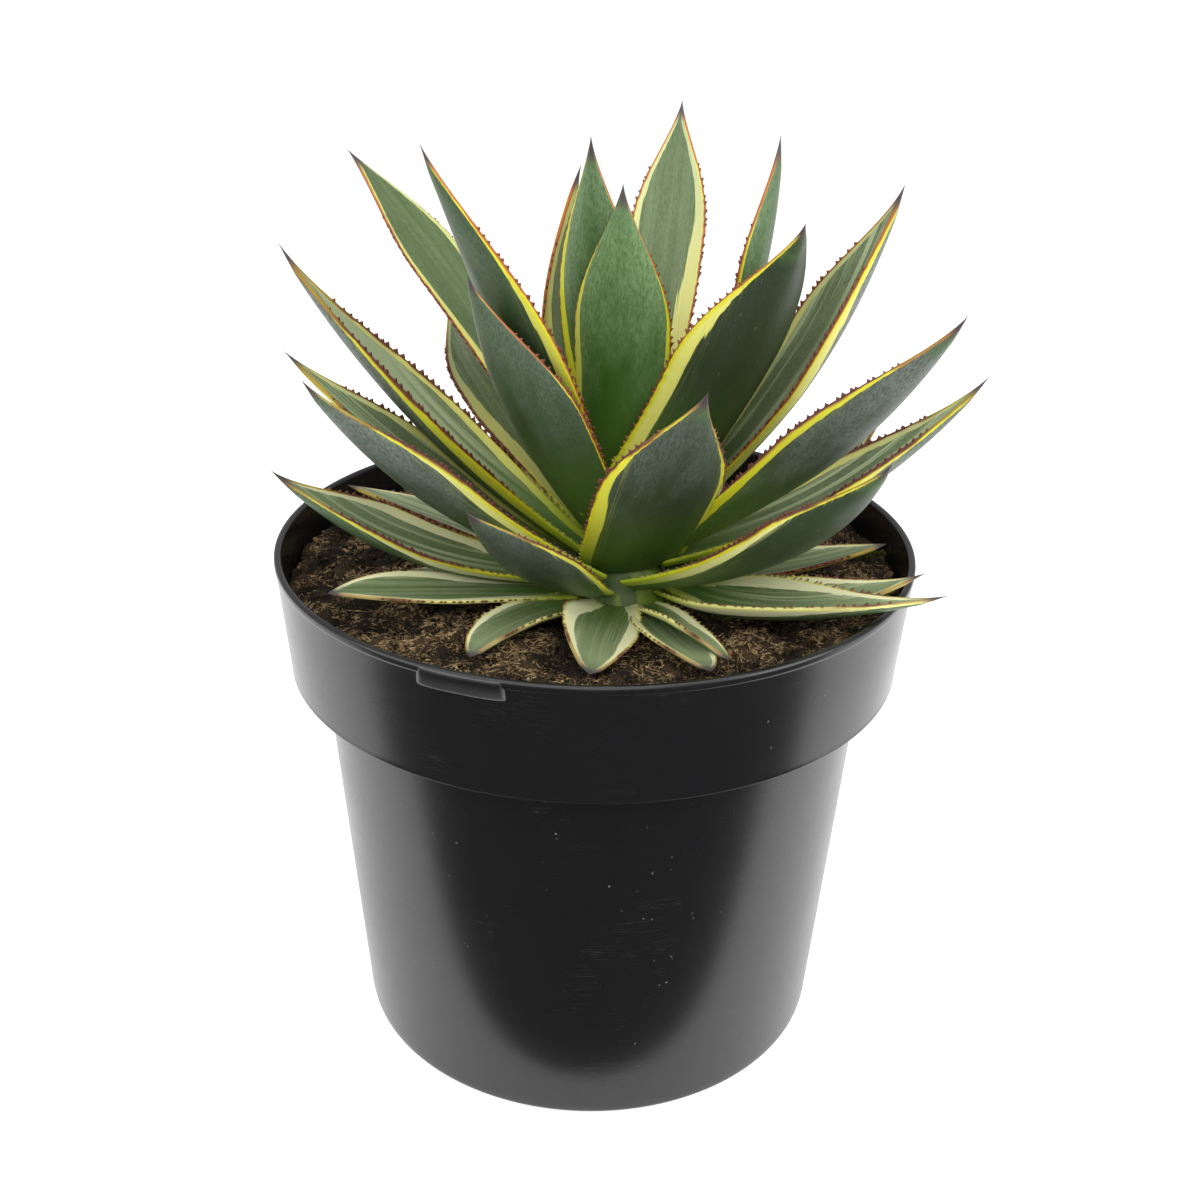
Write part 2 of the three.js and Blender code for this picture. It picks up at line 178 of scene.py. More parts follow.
def repeated(blocks: list[Array], count: int, size: int) -> list[Array]:
    """Faces of many copies of one shell.

    Args:
        blocks: Faces of the first copy.
        count: Number of copies.
        size: Vertices in a copy.

    Returns:
        Faces of all copies, with copy i's vertices from i * size.
    """
    shift = (np.arange(count) * size)[:, None, None]
    return [(block[None] + shift).reshape(-1, block.shape[1]) for block in blocks]


def circle(sides: int) -> Array:
    """Returns that many equal angles round a circle, the first at 0."""
    return np.arange(sides) * (2.0 * math.pi / sides)


def turned(profile: Array, sides: int, centre: tuple[float, float] = (0.0, 0.0)) -> Array:
    """Turns a profile about a vertical axis: point (r cos a, r sin a, z) for each pair (r, z).

    Args:
        profile: N x 2 pairs of radius and height.
        sides: Points round the axis.
        centre: Where the axis stands.

    Returns:
        N x sides x 3 points.
    """
    angle = circle(sides)
    rings = np.empty((len(profile), sides, 3))
    rings[:, :, 0] = centre[0] + profile[:, :1] * np.cos(angle)
    rings[:, :, 1] = centre[1] + profile[:, :1] * np.sin(angle)
    rings[:, :, 2] = profile[:, 1:]
    return rings


@dataclass
class Shell:
    """Closed surfaces: points in millimetres, faces, and a value per point for each attribute."""

    points: Array
    faces: list[Array]
    values: dict[str, Array] = field(default_factory=dict)

    def volume(self) -> float:
        """Signed volume: a sixth of the sum of a . (b x c) over a fan of each face.

        Returns:
            Cubic millimetres, above 0 where the faces point outwards.
        """
        total = 0.0
        for block in self.faces:
            corner = self.points[block[:, 0]]
            for k in range(1, block.shape[1] - 1):
                crossed = np.cross(self.points[block[:, k]], self.points[block[:, k + 1]])
                total += float(np.sum(corner * crossed)) / 6.0
        return total

    def outward(self) -> "Shell":
        """Returns this shell with every face turned to point outwards."""
        if self.volume() < 0.0:
            self.faces = [block[:, ::-1] for block in self.faces]
        return self


def joined(shells: list[Shell]) -> Shell:
    """Puts several shells into one, renumbering the faces.

    Args:
        shells: Shells with the same attribute names.

    Returns:
        One shell that holds them all.
    """
    starts = np.cumsum([0] + [len(s.points) for s in shells[:-1]])
    faces = [block + start for s, start in zip(shells, starts) for block in s.faces]
    names = shells[0].values.keys()
    values = {name: np.concatenate([s.values[name] for s in shells]) for name in names}
    return Shell(np.concatenate([s.points for s in shells]), faces, values)


def lathe(profile: Array, sides: int, centre: tuple[float, float] = (0.0, 0.0)) -> Shell:
    """Turns a profile about a vertical axis into a shell with a pole at each end.

    Args:
        profile: N x 2 pairs of radius and height, the first and last on the axis (radius 0).
        sides: Points round the axis.
        centre: Where the axis stands.

    Returns:
        A closed shell.
    """
    inner = profile[1:-1]
    poles = np.array([[*centre, profile[0, 1]], [*centre, profile[-1, 1]]])
    points = np.concatenate([turned(inner, sides, centre).reshape(-1, 3), poles])
    return Shell(points, tube_faces(len(inner), sides)).outward()


def rounded(corners: list[tuple[float, float, float]], steps: int = 5) -> Array:
    """Rounds the corners of an open profile with quadratic curves.

    Each corner P with radius r becomes (1-s)^2 A + 2s(1-s) P + s^2 B, where A and B lie r before
    and after it. The ends stay sharp.

    Args:
        corners: Triples of radius, height and rounding.
        steps: Points in each rounded corner, less one.

    Returns:
        N x 2 profile points.
    """
    share = np.linspace(0.0, 1.0, steps + 1)[:, None]
    places = np.array([c[:2] for c in corners])
    made = [places[:1]]
    for before, here, after, corner in zip(places, places[1:], places[2:], corners[1:-1]):
        reach_in = min(corner[2], CORNER_SHARE * float(np.linalg.norm(before - here)))
        reach_out = min(corner[2], CORNER_SHARE * float(np.linalg.norm(after - here)))
        start = here + unit(before - here) * reach_in
        end = here + unit(after - here) * reach_out
        made.append((1 - share) ** 2 * start + 2 * share * (1 - share) * here + share**2 * end)
    made.append(places[-1:])
    return np.concatenate(made)


def refined(profile: Array, longest: float) -> Array:
    """Adds points to a profile, evenly along each step that is too long.

    Args:
        profile: N x 2 profile points.
        longest: Longest step allowed, in millimetres.

    Returns:
        The profile with its extra points.
    """
    made = [profile[:1]]
    for start, end in zip(profile, profile[1:]):
        count = max(1, math.ceil(float(np.linalg.norm(end - start)) / longest))
        share = np.linspace(0.0, 1.0, count + 1)[1:, None]
        made.append(start + (end - start) * share)
    return np.concatenate(made)


def copies(template: Shell, frames: Array, places: Array) -> Shell:
    """Sets out copies of one small shell.

    Copy i has points p M_i + o_i, with M_i a 3 x 3 matrix whose rows are the template's axes.

    Args:
        template: The shell to repeat.
        frames: N x 3 x 3 matrices.
        places: N x 3 origins.

    Returns:
        One shell of N closed copies.
    """
    count, size = len(places), len(template.points)
    points = np.einsum("pk,nkj->npj", template.points, frames) + places[:, None, :]
    return Shell(points.reshape(-1, 3), repeated(template.faces, count, size))


def pebble(rings: int, sides: int) -> Shell:
    """Returns a coarse ball: point (sin b cos a, sin b sin a, cos b), a pole at each end."""
    fall = np.linspace(0.0, math.pi, rings + 2)
    return lathe(np.stack([np.sin(fall), np.cos(fall)], axis=1), sides)


def random_frames(rng: np.random.Generator, count: int) -> Array:
    """Random rotation matrices, from random unit quaternions.

    Args:
        rng: Random source.
        count: How many.

    Returns:
        count x 3 x 3 matrices.
    """
    w, x, y, z = unit(rng.normal(size=(count, 4))).T
    rows = [
        [1 - 2 * (y * y + z * z), 2 * (x * y - z * w), 2 * (x * z + y * w)],
        [2 * (x * y + z * w), 1 - 2 * (x * x + z * z), 2 * (y * z - x * w)],
        [2 * (x * z - y * w), 2 * (y * z + x * w), 1 - 2 * (x * x + y * y)],
    ]
    return np.array(rows).transpose(2, 0, 1)


def threads(paths: Array, widths: Array, sides: int = 3) -> Shell:
    """Thin tubes along many short paths at once.

    Ring point k of path n at station s is path + width * (side cos a_k + up sin a_k), with the side
    level and square to the path.

    Args:
        paths: N x S x 3 centre lines.
        widths: N x S half widths.
        sides: Points round each tube.

    Returns:
        One shell of N closed tubes, pointed at both ends.
    """
    count, stations, _ = paths.shape
    nearly_up = np.array([0.013, 0.021, 1.0])  # off the vertical, so an upright path has a side
    along = unit(np.gradient(paths, axis=1))
    side = unit(np.cross(along, nearly_up))
    above = np.cross(side, along)
    angle = circle(sides)
    ring = (
        side[:, 1:-1, None, :] * np.cos(angle)[None, None, :, None]
        + above[:, 1:-1, None, :] * np.sin(angle)[None, None, :, None]
    )
    ring = paths[:, 1:-1, None, :] + ring * widths[:, 1:-1, None, None]
    body = ring.reshape(count, -1, 3)
    points = np.concatenate([body, paths[:, :1], paths[:, -1:]], axis=1)
    faces = repeated(tube_faces(stations - 2, sides), count, points.shape[1])
    return Shell(points.reshape(-1, 3), faces).outward()


def build(
    name: str, shell: Shell, finish: "Finish", slot: Slot, replaced: tuple[str, ...] = ()
) -> bpy.types.Object:
    """Makes the object of a shell, dresses it, and ties it to the frame.

    Args:
        name: Piece name.
        shell: Closed shell in millimetres.
        finish: Finish whose material it wears.
        slot: The record's slot for it.
        replaced: CAD nodes that it stands for.

    Returns:
        The new object, at the origin.
    """
    mesh = bpy.data.meshes.new(name)
    faces = [face for block in shell.faces for face in block.tolist()]
    mesh.from_pydata((shell.points * MM).tolist(), [], faces)
    mesh.update()
    mesh.polygons.foreach_set("use_smooth", np.ones(len(mesh.polygons), dtype=bool))
    for label, values in shell.values.items():
        kind, key = ("FLOAT_VECTOR", "vector") if values.ndim == 2 else ("FLOAT", "value")
        layer = mesh.attributes.new(label, kind, "POINT")
        layer.data.foreach_set(key, values.astype(np.float32).ravel())
    mesh.materials.append(finish.material())
    piece = bpy.data.objects.new(name, mesh)
    bpy.context.scene.collection.objects.link(piece)
    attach(piece, BODY)
    if replaced:
        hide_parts(*replaced)
    triangles = sum(len(block) * (block.shape[1] - 2) for block in shell.faces)
    stands_for = ", ".join(replaced) or "nothing"
    LOG.info("%s: %d triangles, slot %s, for %s", name, triangles, slot.value, stands_for)
    return piece


# ------------------------------------------------------------------------------ finishes


@dataclass(frozen=True)
class Pattern:
    """A noise: its waves to a metre along each of three axes, its detail and its roughness."""

    waves: Colour
    detail: float = 2.0
    rough: float = 0.5


class Nodes:
    """A short way to write a material's node tree."""

    def __init__(self, name: str) -> None:
        """Starts a material with a Principled shader.

        Args:
            name: Name of the material.
        """
        self.material = bpy.data.materials.new(name)
        self.material.use_nodes = True
        self.tree = self.material.node_tree
        self.tree.nodes.clear()
        self.shader = self.tree.nodes.new("ShaderNodeBsdfPrincipled")
        output = self.tree.nodes.new("ShaderNodeOutputMaterial")
        self.tree.links.new(self.shader.outputs["BSDF"], output.inputs["Surface"])

    def put(self, socket: Socket, value: object) -> None:
        """Links a socket, or sets a constant on it.

        Args:
            socket: Input to fill.
            value: A socket to link, or a number, a colour or another constant.
        """
        if isinstance(value, Socket):
            self.tree.links.new(value, socket)
        elif isinstance(value, tuple) and len(value) == 3 and socket.type == "RGBA":
            socket.default_value = (*value, 1.0)
        else:
            socket.default_value = value

    def set(self, **inputs: object) -> None:
        """Sets inputs of the shader; an underscore stands for a space in the input's name."""
        for name, value in inputs.items():
            self.put(self.shader.inputs[name.replace("_", " ")], value)

    def value(self, name: str) -> Socket:
        """Returns a float attribute of the mesh."""
        node = self.tree.nodes.new("ShaderNodeAttribute")
        node.attribute_name = name
        return node.outputs["Fac"]

    def vector(self, name: str) -> Socket:
        """Returns a vector attribute of the mesh."""
        node = self.tree.nodes.new("ShaderNodeAttribute")
        node.attribute_name = name
        return node.outputs["Vector"]

    def place(self) -> Socket:
        """Returns Object coordinates, in metres."""
        return self.tree.nodes.new("ShaderNodeTexCoord").outputs["Object"]

    def split(self, vector: Socket) -> tuple[Socket, ...]:
        """Returns a vector's X, Y and Z."""
        node = self.tree.nodes.new("ShaderNodeSeparateXYZ")
        self.put(node.inputs[0], vector)
        return node.outputs[0], node.outputs[1], node.outputs[2]

    def math(
        self, operation: str, first: object, second: object = 0.0, third: object = 0.0
    ) -> Socket:
        """Adds a Math node.

        Args:
            operation: The node's operation.
            first: First number or socket.
            second: Second number or socket.
            third: Third number or socket.

        Returns:
            The result.
        """
        node = self.tree.nodes.new("ShaderNodeMath")
        node.operation = operation
        for socket, value in zip(node.inputs, (first, second, third)):
            self.put(socket, value)
        return node.outputs[0]

    def times(self, first: object, second: object) -> Socket:
        """Returns first times second."""
        return self.math("MULTIPLY", first, second)

    def less(self, first: object, second: object) -> Socket:
        """Returns first less second."""
        return self.math("SUBTRACT", first, second)

    def plus(self, base: object, value: object, share: object) -> Socket:
        """Returns base and a share of value: base + value * share."""
        return self.math("MULTIPLY_ADD", value, share, base)

    def swayed(self, base: object, value: object, share: float, middle: float = 0.5) -> Socket:
        """Returns base moved both ways by a noise: base + (value - middle) * share."""
        return self.plus(base, self.less(value, middle), share)

    def scaled(self, vector: Socket, factors: Colour) -> Socket:
        """Multiplies a vector by three factors, each along its own axis.

        Args:
            vector: The vector.
            factors: A factor for each axis.

        Returns:
            The scaled vector.
        """
        node = self.tree.nodes.new("ShaderNodeVectorMath")
        node.operation = "MULTIPLY"
        self.put(node.inputs[0], vector)
        node.inputs[1].default_value = factors
        return node.outputs[0]

    def noise(self, vector: object, scale: float, detail: float, rough: float) -> Socket:
        """Adds a noise texture.

        Args:
            vector: Where it is read.
            scale: Waves in a unit of the vector.
            detail: Octaves above the first.
            rough: Share of each octave in the next.

        Returns:
            Its value, about 0.5 in the mean.
        """
        node = self.tree.nodes.new("ShaderNodeTexNoise")
        self.put(node.inputs["Vector"], vector)
        node.inputs["Scale"].default_value = scale
        node.inputs["Detail"].default_value = detail
        node.inputs["Roughness"].default_value = rough
        return node.outputs["Fac"]

    def pattern(self, vector: Socket, pattern: Pattern) -> Socket:
        """Returns the value of a noise that is stretched by its waves along each axis."""
        return self.noise(self.scaled(vector, pattern.waves), 1.0, pattern.detail, pattern.rough)

    def cells(self, vector: object, scale: float) -> Socket:
        """Adds a Voronoi texture.

        Args:
            vector: Where it is read.
            scale: Cells in a unit of the vector.

        Returns:
            The distance from the middle of the nearest cell.
        """
        node = self.tree.nodes.new("ShaderNodeTexVoronoi")
        self.put(node.inputs["Vector"], vector)
        node.inputs["Scale"].default_value = scale
        return node.outputs["Distance"]

    def ease(
        self, value: object, low: float, high: float, to_low: float = 0.0, to_high: float = 1.0
    ) -> Socket:
        """Eases a value smoothly from one share to another.

        Args:
            value: The value.
            low: Value where the change begins.
            high: Value where it ends.
            to_low: Share up to low.
            to_high: Share from high on.

        Returns:
            The eased share.
        """
        node = self.tree.nodes.new("ShaderNodeMapRange")
        node.interpolation_type = "SMOOTHSTEP"
        self.put(node.inputs["Value"], value)
        node.inputs["From Min"].default_value = low
        node.inputs["From Max"].default_value = high
        node.inputs["To Min"].default_value = to_low
        node.inputs["To Max"].default_value = to_high
        return node.outputs[0]

    def mix(self, share: object, first: object, second: object) -> Socket:
        """Mixes two colours.

        Args:
            share: 0 for the first, 1 for the second.
            first: First colour.
            second: Second colour.

        Returns:
            The mixed colour.
        """
        node = self.tree.nodes.new("ShaderNodeMix")
        node.data_type = "RGBA"
        self.put(node.inputs["Factor"], share)
        colours = [socket for socket in node.inputs if socket.type == "RGBA"]
        self.put(colours[0], first)
        self.put(colours[1], second)
        return next(socket for socket in node.outputs if socket.type == "RGBA")

    def bump(
        self, height: object, distance: float, strength: float = 1.0, under: object = None
    ) -> Socket:
        """Adds a bump.

        Args:
            height: Height of the relief.
            distance: Metres for a height of 1.
            strength: Share of the bump that shows.
            under: Normal of another bump that it lies on.

        Returns:
            The bumped normal.
        """
        node = self.tree.nodes.new("ShaderNodeBump")
        self.put(node.inputs["Height"], height)
        node.inputs["Distance"].default_value = distance
        node.inputs["Strength"].default_value = strength
        if under is not None:
            self.put(node.inputs["Normal"], under)
        return node.outputs["Normal"]


class Finish:
    """A finish, whose material is made once and shared by the pieces that wear it."""

    def __init__(self) -> None:
        """Starts with no material made."""
        self.made: bpy.types.Material | None = None

    def material(self) -> bpy.types.Material:
        """Returns the material, making it at the first call."""
        if self.made is None:
            self.made = self.make()
        return self.made

    def make(self) -> bpy.types.Material:
        """Returns a new material; each finish has its own."""
        raise NotImplementedError


class LeafFinish(Finish):
    """Leaf skin: green middle with fine lines, cream and lemon bands, brown horny edge and teeth.

    Attributes it reads: grain (across, along, seed), edge (mm from the margin), band (mm wide),
    along (0 base to 1 tip), upper (1 upper face, 0 back), horn (1 on spine and teeth), age, lane,
    tint (freshness, bloom and streaks) and gold. A pattern's waves run across, along, and from
    leaf to leaf. An ease gives where a change starts and ends, along the leaf, with its age or in
    a noise, and the shares it has there.
    """

    SPECKLE = Pattern((2000.0, 620.0, 1.0), 4.0, 0.75)
    PATCH = Pattern((190.0, 60.0, 1.0), 4.0, 0.62)
    STRIPE = Pattern((520.0, 6.0, 1.0), 3.0, 0.55)
    SCRATCHES = Pattern((2100.0, 420.0, 1.0), 3.0, 0.7)
    STREAK = Pattern((700.0, 9.0, 1.0), 2.0, 0.55)
    FINE_LINE = Pattern((3800.0, 26.0, 1.0), 2.0, 0.6)
    BLOTCH = Pattern((110.0, 45.0, 1.0), 3.0, 0.6)
    PORES = Pattern((1900.0, 900.0, 1.0), 3.0, 0.75)
    LEMON: Colour = (0.52, 0.51, 0.008)
    LIME: Colour = (0.31, 0.40, 0.018)
    CREAM: Colour = (0.63, 0.61, 0.21)
    IVORY: Colour = (0.66, 0.66, 0.41)
    SAGE: Colour = (0.43, 0.48, 0.27)
    UPPER_GREEN: Colour = (0.080, 0.112, 0.050)
    UPPER_PALE: Colour = (0.168, 0.218, 0.122)
    UPPER_STRIPE: Colour = (0.34, 0.40, 0.24)
    UPPER_BLOOM: Colour = (0.225, 0.285, 0.150)
    FRESH_UPPER: Colour = (0.046, 0.082, 0.020)
    FRESH_PALE: Colour = (0.094, 0.142, 0.055)
    BACK_GREEN: Colour = (0.018, 0.032, 0.012)
    FRESH_GREEN: Colour = (0.026, 0.082, 0.006)
    BLOOM: Colour = (0.148, 0.176, 0.152)
    FRESH_BLOOM: Colour = (0.140, 0.232, 0.094)
    # Near the base: the leaf's own green, made lighter as painted fill light in the leaves' shade
    BASE_GREEN_AND_FILL_LIGHT: Colour = (0.070, 0.145, 0.020)
    SCUFF: Colour = (0.26, 0.29, 0.24)
    TIP_GREEN: Colour = (0.060, 0.140, 0.025)
    RUST: Colour = (0.40, 0.115, 0.018)
    MAROON: Colour = (0.095, 0.022, 0.011)
    SPINE_BROWN: Colour = (0.052, 0.040, 0.040)
    TOOTH_PALE: Colour = (0.42, 0.36, 0.10)
    TIP_SHADE: Colour = (0.060, 0.068, 0.050)

    def greens(self, n: Nodes, grain: Socket, along: Socket) -> Socket:
        """Returns the green middle: mottled above, dark under a grey bloom on the back.

        Low down the back's dark green is partly painted shade, and near the base a brighter green
        is partly painted fill light.

        Args:
            n: Node writer.
            grain: Vector across, along and seed.
            along: Share of the way to the tip.

        Returns:
            A colour socket.
        """
        fresh, dust, streaks = n.split(n.vector("tint"))
        speckle = n.pattern(grain, self.SPECKLE)
        patch = n.pattern(grain, self.PATCH)
        top = self.upper_green(n, grain, along, (speckle, patch), (fresh, dust, streaks))
        back = self.back_green(n, along, (speckle, patch), (fresh, dust))
        scratched = n.ease(n.pattern(grain, self.SCRATCHES), 0.64, 0.72)
        scuff = n.times(scratched, n.ease(patch, 0.40, 0.62, 0.10, 0.45))
        return n.mix(scuff, n.mix(n.value("upper"), back, top), self.SCUFF)

    def upper_green(
        self,
        n: Nodes,
        grain: Socket,
        along: Socket,
        noises: tuple[Socket, Socket],
        tint: tuple[Socket, Socket, Socket],
    ) -> Socket:
        """Returns the upper face's green: flecks, pale stripes, bloom when old, brighter low down.

        The brighter green low down is partly the leaf's own and partly painted fill light.

        Args:
            n: Node writer.
            grain: Vector across, along and seed.
            along: Share of the way to the tip.
            noises: Speckle and patch.
            tint: Freshness, bloom and streaks.

        Returns:
            A colour socket.
        """
        speckle, patch = noises
        fresh, dust, streaks = tint
        flecks = n.plus(n.ease(patch, 0.32, 0.68, 0.0, 0.30), n.ease(speckle, 0.34, 0.64), 0.70)
        dark = n.mix(fresh, self.UPPER_GREEN, self.FRESH_UPPER)
        light = n.mix(fresh, self.UPPER_PALE, self.FRESH_PALE)
        striped = n.times(n.ease(n.pattern(grain, self.STRIPE), 0.46, 0.60), streaks)
        top = n.mix(striped, n.mix(flecks, dark, light), self.UPPER_STRIPE)
        old = n.ease(n.value("age"), 0.78, 0.9)
        bloomed = n.times(n.times(n.ease(along, 0.25, 0.85, 0.0, 1.15), old), dust)
        top = n.mix(bloomed, top, self.UPPER_BLOOM)
        # Partly painted fill light: a brighter green low down, where the leaves shade one another
        return n.mix(n.ease(along, 0.05, 0.45, 0.85, 0.0), top, self.BASE_GREEN_AND_FILL_LIGHT)

    def back_green(
        self, n: Nodes, along: Socket, noises: tuple[Socket, Socket], tint: tuple[Socket, Socket]
    ) -> Socket:
        """Returns the back's green: dark, under a bloom that thickens upwards and to the margins.

        Its dark green low down is partly painted shade; near the base a brighter green is partly
        painted fill light.

        Args:
            n: Node writer.
            along: Share of the way to the tip.
            noises: Speckle and patch.
            tint: Freshness and bloom.

        Returns:
            A colour socket.
        """
        speckle, patch = noises
        fresh, dust = tint
        low = n.mix(fresh, self.BACK_GREEN, self.FRESH_GREEN)
        bloom = n.mix(fresh, self.BLOOM, self.FRESH_BLOOM)
        rise = n.swayed(along, patch, 0.8)
        rise = n.swayed(rise, n.math("ABSOLUTE", n.value("lane")), 0.30, middle=0.45)
        # The bloom thins downwards and towards the middle; the darkening low down is partly painted
        # shade
        cover = n.times(n.ease(rise, 0.22, 0.95), n.ease(speckle, 0.34, 0.62, 0.30, 1.0))
        back = n.mix(n.times(cover, dust), low, bloom)
        # Partly painted fill light: a brighter green near the base, where the leaves shade one
        # another
        back = n.mix(n.ease(along, 0.08, 0.55, 0.85, 0.0), back, self.BASE_GREEN_AND_FILL_LIGHT)
        tip = n.times(n.ease(along, 0.86, 0.93), n.ease(patch, 0.46, 0.60, 0.15, 0.7))
        return n.mix(tip, back, self.TIP_GREEN)

    def bands(self, n: Nodes, edge: Socket, along: Socket) -> Socket:
        """Returns the pale bands: lemon outside, sage or cream inside, ivory when old, lime low.

        Args:
            n: Node writer.
            edge: Millimetres from the margin.
            along: Share of the way to the tip.

        Returns:
            A colour socket.
        """
        upper, age, gold = n.value("upper"), n.value("age"), n.value("gold")
        inner = n.mix(n.times(n.ease(along, 0.45, 0.85), upper), self.CREAM, self.SAGE)
        golden = n.times(n.less(1.0, n.times(upper, 0.6)), gold)
        inner = n.mix(golden, inner, self.LEMON)
        inner = n.mix(n.ease(age, 0.6, 0.95), inner, self.IVORY)
        outer = n.mix(n.ease(age, 0.82, 0.96), self.LEMON, self.CREAM)
        reach = n.plus(0.5, n.less(1.0, upper), 0.8)
        colour = n.mix(n.ease(n.math("DIVIDE", edge, reach), 0.55, 1.5), outer, inner)
        young = n.ease(age, 0.955, 0.99, 1.0, 0.35)
        return n.mix(n.times(n.ease(along, 0.05, 0.26, 0.9, 0.0), young), colour, self.LIME)

    def face(self, n: Nodes, grain: Socket, fine: Socket, ratio: Socket, edge: Socket) -> Socket:
        """Returns the blade's colour without its margin: green middle, bands, lines between them.

        Args:
            n: Node writer.
            grain: Vector across, along and seed.
            fine: Fine lengthwise lines.
            ratio: Distance from the margin in widths of the band, with its streaks.
            edge: Millimetres from the margin.

        Returns:
            A colour socket.
        """
        age, along = n.value("age"), n.value("along")
        beside = n.times(n.ease(ratio, 1.0, 2.2, 1.0, 0.0), n.ease(fine, 0.54, 0.60))
        beside = n.times(beside, n.ease(age, 0.3, 0.9, 0.10, 0.45))
        pale = self.bands(n, edge, along)
        colour = n.mix(beside, self.greens(n, grain, along), pale)
        green_line = n.times(n.ease(fine, 0.60, 0.68), n.ease(ratio, 0.35, 0.9))
        pale = n.mix(n.times(green_line, 0.5), pale, self.UPPER_PALE)
        return n.mix(n.ease(ratio, 0.96, 1.04, 1.0, 0.0), colour, pale)

    def margin(
        self, n: Nodes, colour: Socket, edge: Socket, streak: Socket, blotch: Socket
    ) -> Socket:
        """Returns a colour with the margin on it: a rusty line, maroon at the very edge.

        Args:
            n: Node writer.
            colour: Colour of the blade.
            edge: Millimetres from the margin.
            streak: Lengthwise noise that frays the line.
            blotch: Slow noise that breaks it up.

        Returns:
            A colour socket.
        """
        age, along = n.value("age"), n.value("along")
        full = n.times(n.ease(along, 0.20, 0.55), n.ease(age, 0.25, 0.5, 0.30, 1.0))
        full = n.times(full, n.ease(blotch, 0.32, 0.58, 0.30, 1.15))
        full = n.times(full, n.ease(along, 0.78, 0.90, 1.0, 0.55))
        thick = n.plus(0.20, full, n.ease(age, 0.78, 0.9, 0.85, 0.30))
        reach = n.math("DIVIDE", n.swayed(edge, streak, 0.35), thick)
        dry = n.ease(n.less(along, n.ease(age, 0.8, 0.95, 0.0, 0.45)), 0.12, 0.34)
        rusty = n.times(n.ease(reach, 0.7, 1.3, 1.0, 0.0), n.ease(age, 0.28, 0.60, 1.0, 0.28))
        colour = n.mix(n.times(rusty, dry), colour, self.RUST)
        dark = n.times(n.ease(reach, 0.35, 1.0, 1.0, 0.0), n.ease(age, 0.1, 0.45, 0.40, 1.0))
        dark = n.times(dark, n.ease(along, 0.74, 0.90, 1.0, 0.45))
        return n.mix(n.times(dark, dry), colour, self.MAROON)

    def make(self) -> bpy.types.Material:
        """Returns the leaf material."""
        n = Nodes("agave_leaf")
        grain, edge, along = n.vector("grain"), n.value("edge"), n.value("along")
        streak = n.pattern(grain, self.STREAK)
        fine = n.pattern(grain, self.FINE_LINE)
        blotch = n.pattern(grain, self.BLOTCH)
        pores = n.pattern(grain, self.PORES)

        ratio = n.swayed(n.math("DIVIDE", edge, n.value("band")), streak, 0.60)
        ratio = n.swayed(ratio, blotch, 0.35)
        colour = self.face(n, grain, fine, ratio, edge)
        young_to_old = n.ease(n.value("age"), 0.30, 0.50, 0.35, 0.62)
        near_tip = n.times(n.ease(along, 0.84, 0.98), young_to_old)
        colour = n.mix(near_tip, colour, self.TIP_SHADE)
        colour = self.margin(n, colour, edge, streak, blotch)
        tooth = n.mix(n.ease(along, 0.06, 0.28), self.TOOTH_PALE, self.MAROON)
        tooth = n.mix(n.ease(along, 0.88, 0.96), tooth, self.SPINE_BROWN)

        n.set(Base_Color=n.mix(n.value("horn"), colour, tooth))
        n.set(Roughness=n.plus(0.32, pores, 0.26))
        n.set(Specular_IOR_Level=0.40)
        relief = n.bump(fine, 0.00010, 0.45)
        n.set(Normal=n.bump(pores, 0.00008, 0.30, relief))
        return n.material


class PlasticFinish(Finish):
    """Satin black plastic: faint flow marks, smears, hairline scratches, dust, painted highlights.

    It reads one attribute, 1 on the label pocket's edges and ends, where a paler grey is painted
    as a highlight and the gloss is rougher.
    """

    BLACK: Colour = (0.0062, 0.0062, 0.0068)
    HAZY_BLACK: Colour = (0.010, 0.010, 0.011)
    # Pale grey of the dust specks and scratches, also used for the painted highlight on the
    # pocket's edges
    DUST_AND_HIGHLIGHT: Colour = (0.34, 0.33, 0.31)
    SMEAR = Pattern((9.0, 9.0, 30.0), 4.0, 0.6)
    SCRATCH = Pattern((26.0, 26.0, 900.0), 2.0, 0.6)
    FLOW = Pattern((60.0, 60.0, 240.0), 3.0)
    HAZE = (38.0, 4.0, 0.62)  # scale, detail and roughness of an even noise
    CHOSEN_SPECKS = (170.0, 2.0, 0.5)
    DUSTY_PLACES = (16.0, 2.0, 0.5)
    SPECKS = 420.0

    def make(self) -> bpy.types.Material:
        """Returns the pot material."""
        n = Nodes("black_plastic")
        place, edge_highlight = n.place(), n.value("edge_highlight")
        smear = n.pattern(place, self.SMEAR)
        haze = n.noise(place, *self.HAZE)
        specks = n.ease(n.cells(place, self.SPECKS), 0.10, 0.19, 1.0, 0.0)
        chosen = n.ease(n.noise(place, *self.CHOSEN_SPECKS), 0.60, 0.66)
        where = n.ease(n.noise(place, *self.DUSTY_PLACES), 0.46, 0.62)
        dust = n.times(n.times(specks, chosen), where)
        off_middle = n.math("ABSOLUTE", n.less(n.pattern(place, self.SCRATCH), 0.5))
        line = n.times(n.ease(off_middle, 0.002, 0.012, 1.0, 0.0), n.ease(haze, 0.55, 0.68))
        colour = n.mix(n.times(haze, 0.35), self.BLACK, self.HAZY_BLACK)
        # Painted highlight: a paler grey on the label pocket's edges and ends, which are also
        # rougher
        scuff = n.times(edge_highlight, n.ease(haze, 0.35, 0.65, 0.12, 0.30))
        for share in (scuff, n.times(line, 0.04), n.times(dust, 0.32)):
            colour = n.mix(share, colour, self.DUST_AND_HIGHLIGHT)
        n.set(Base_Color=colour)
        rough = n.plus(0.205, smear, 0.12)
        for value, share in ((line, 0.12), (edge_highlight, 0.22), (dust, 0.4)):
            rough = n.plus(rough, value, share)
        n.set(Roughness=rough)
        n.set(Specular_IOR_Level=0.44)
        n.set(Normal=n.bump(n.pattern(place, self.FLOW), 0.00006, 0.3))
        return n.material


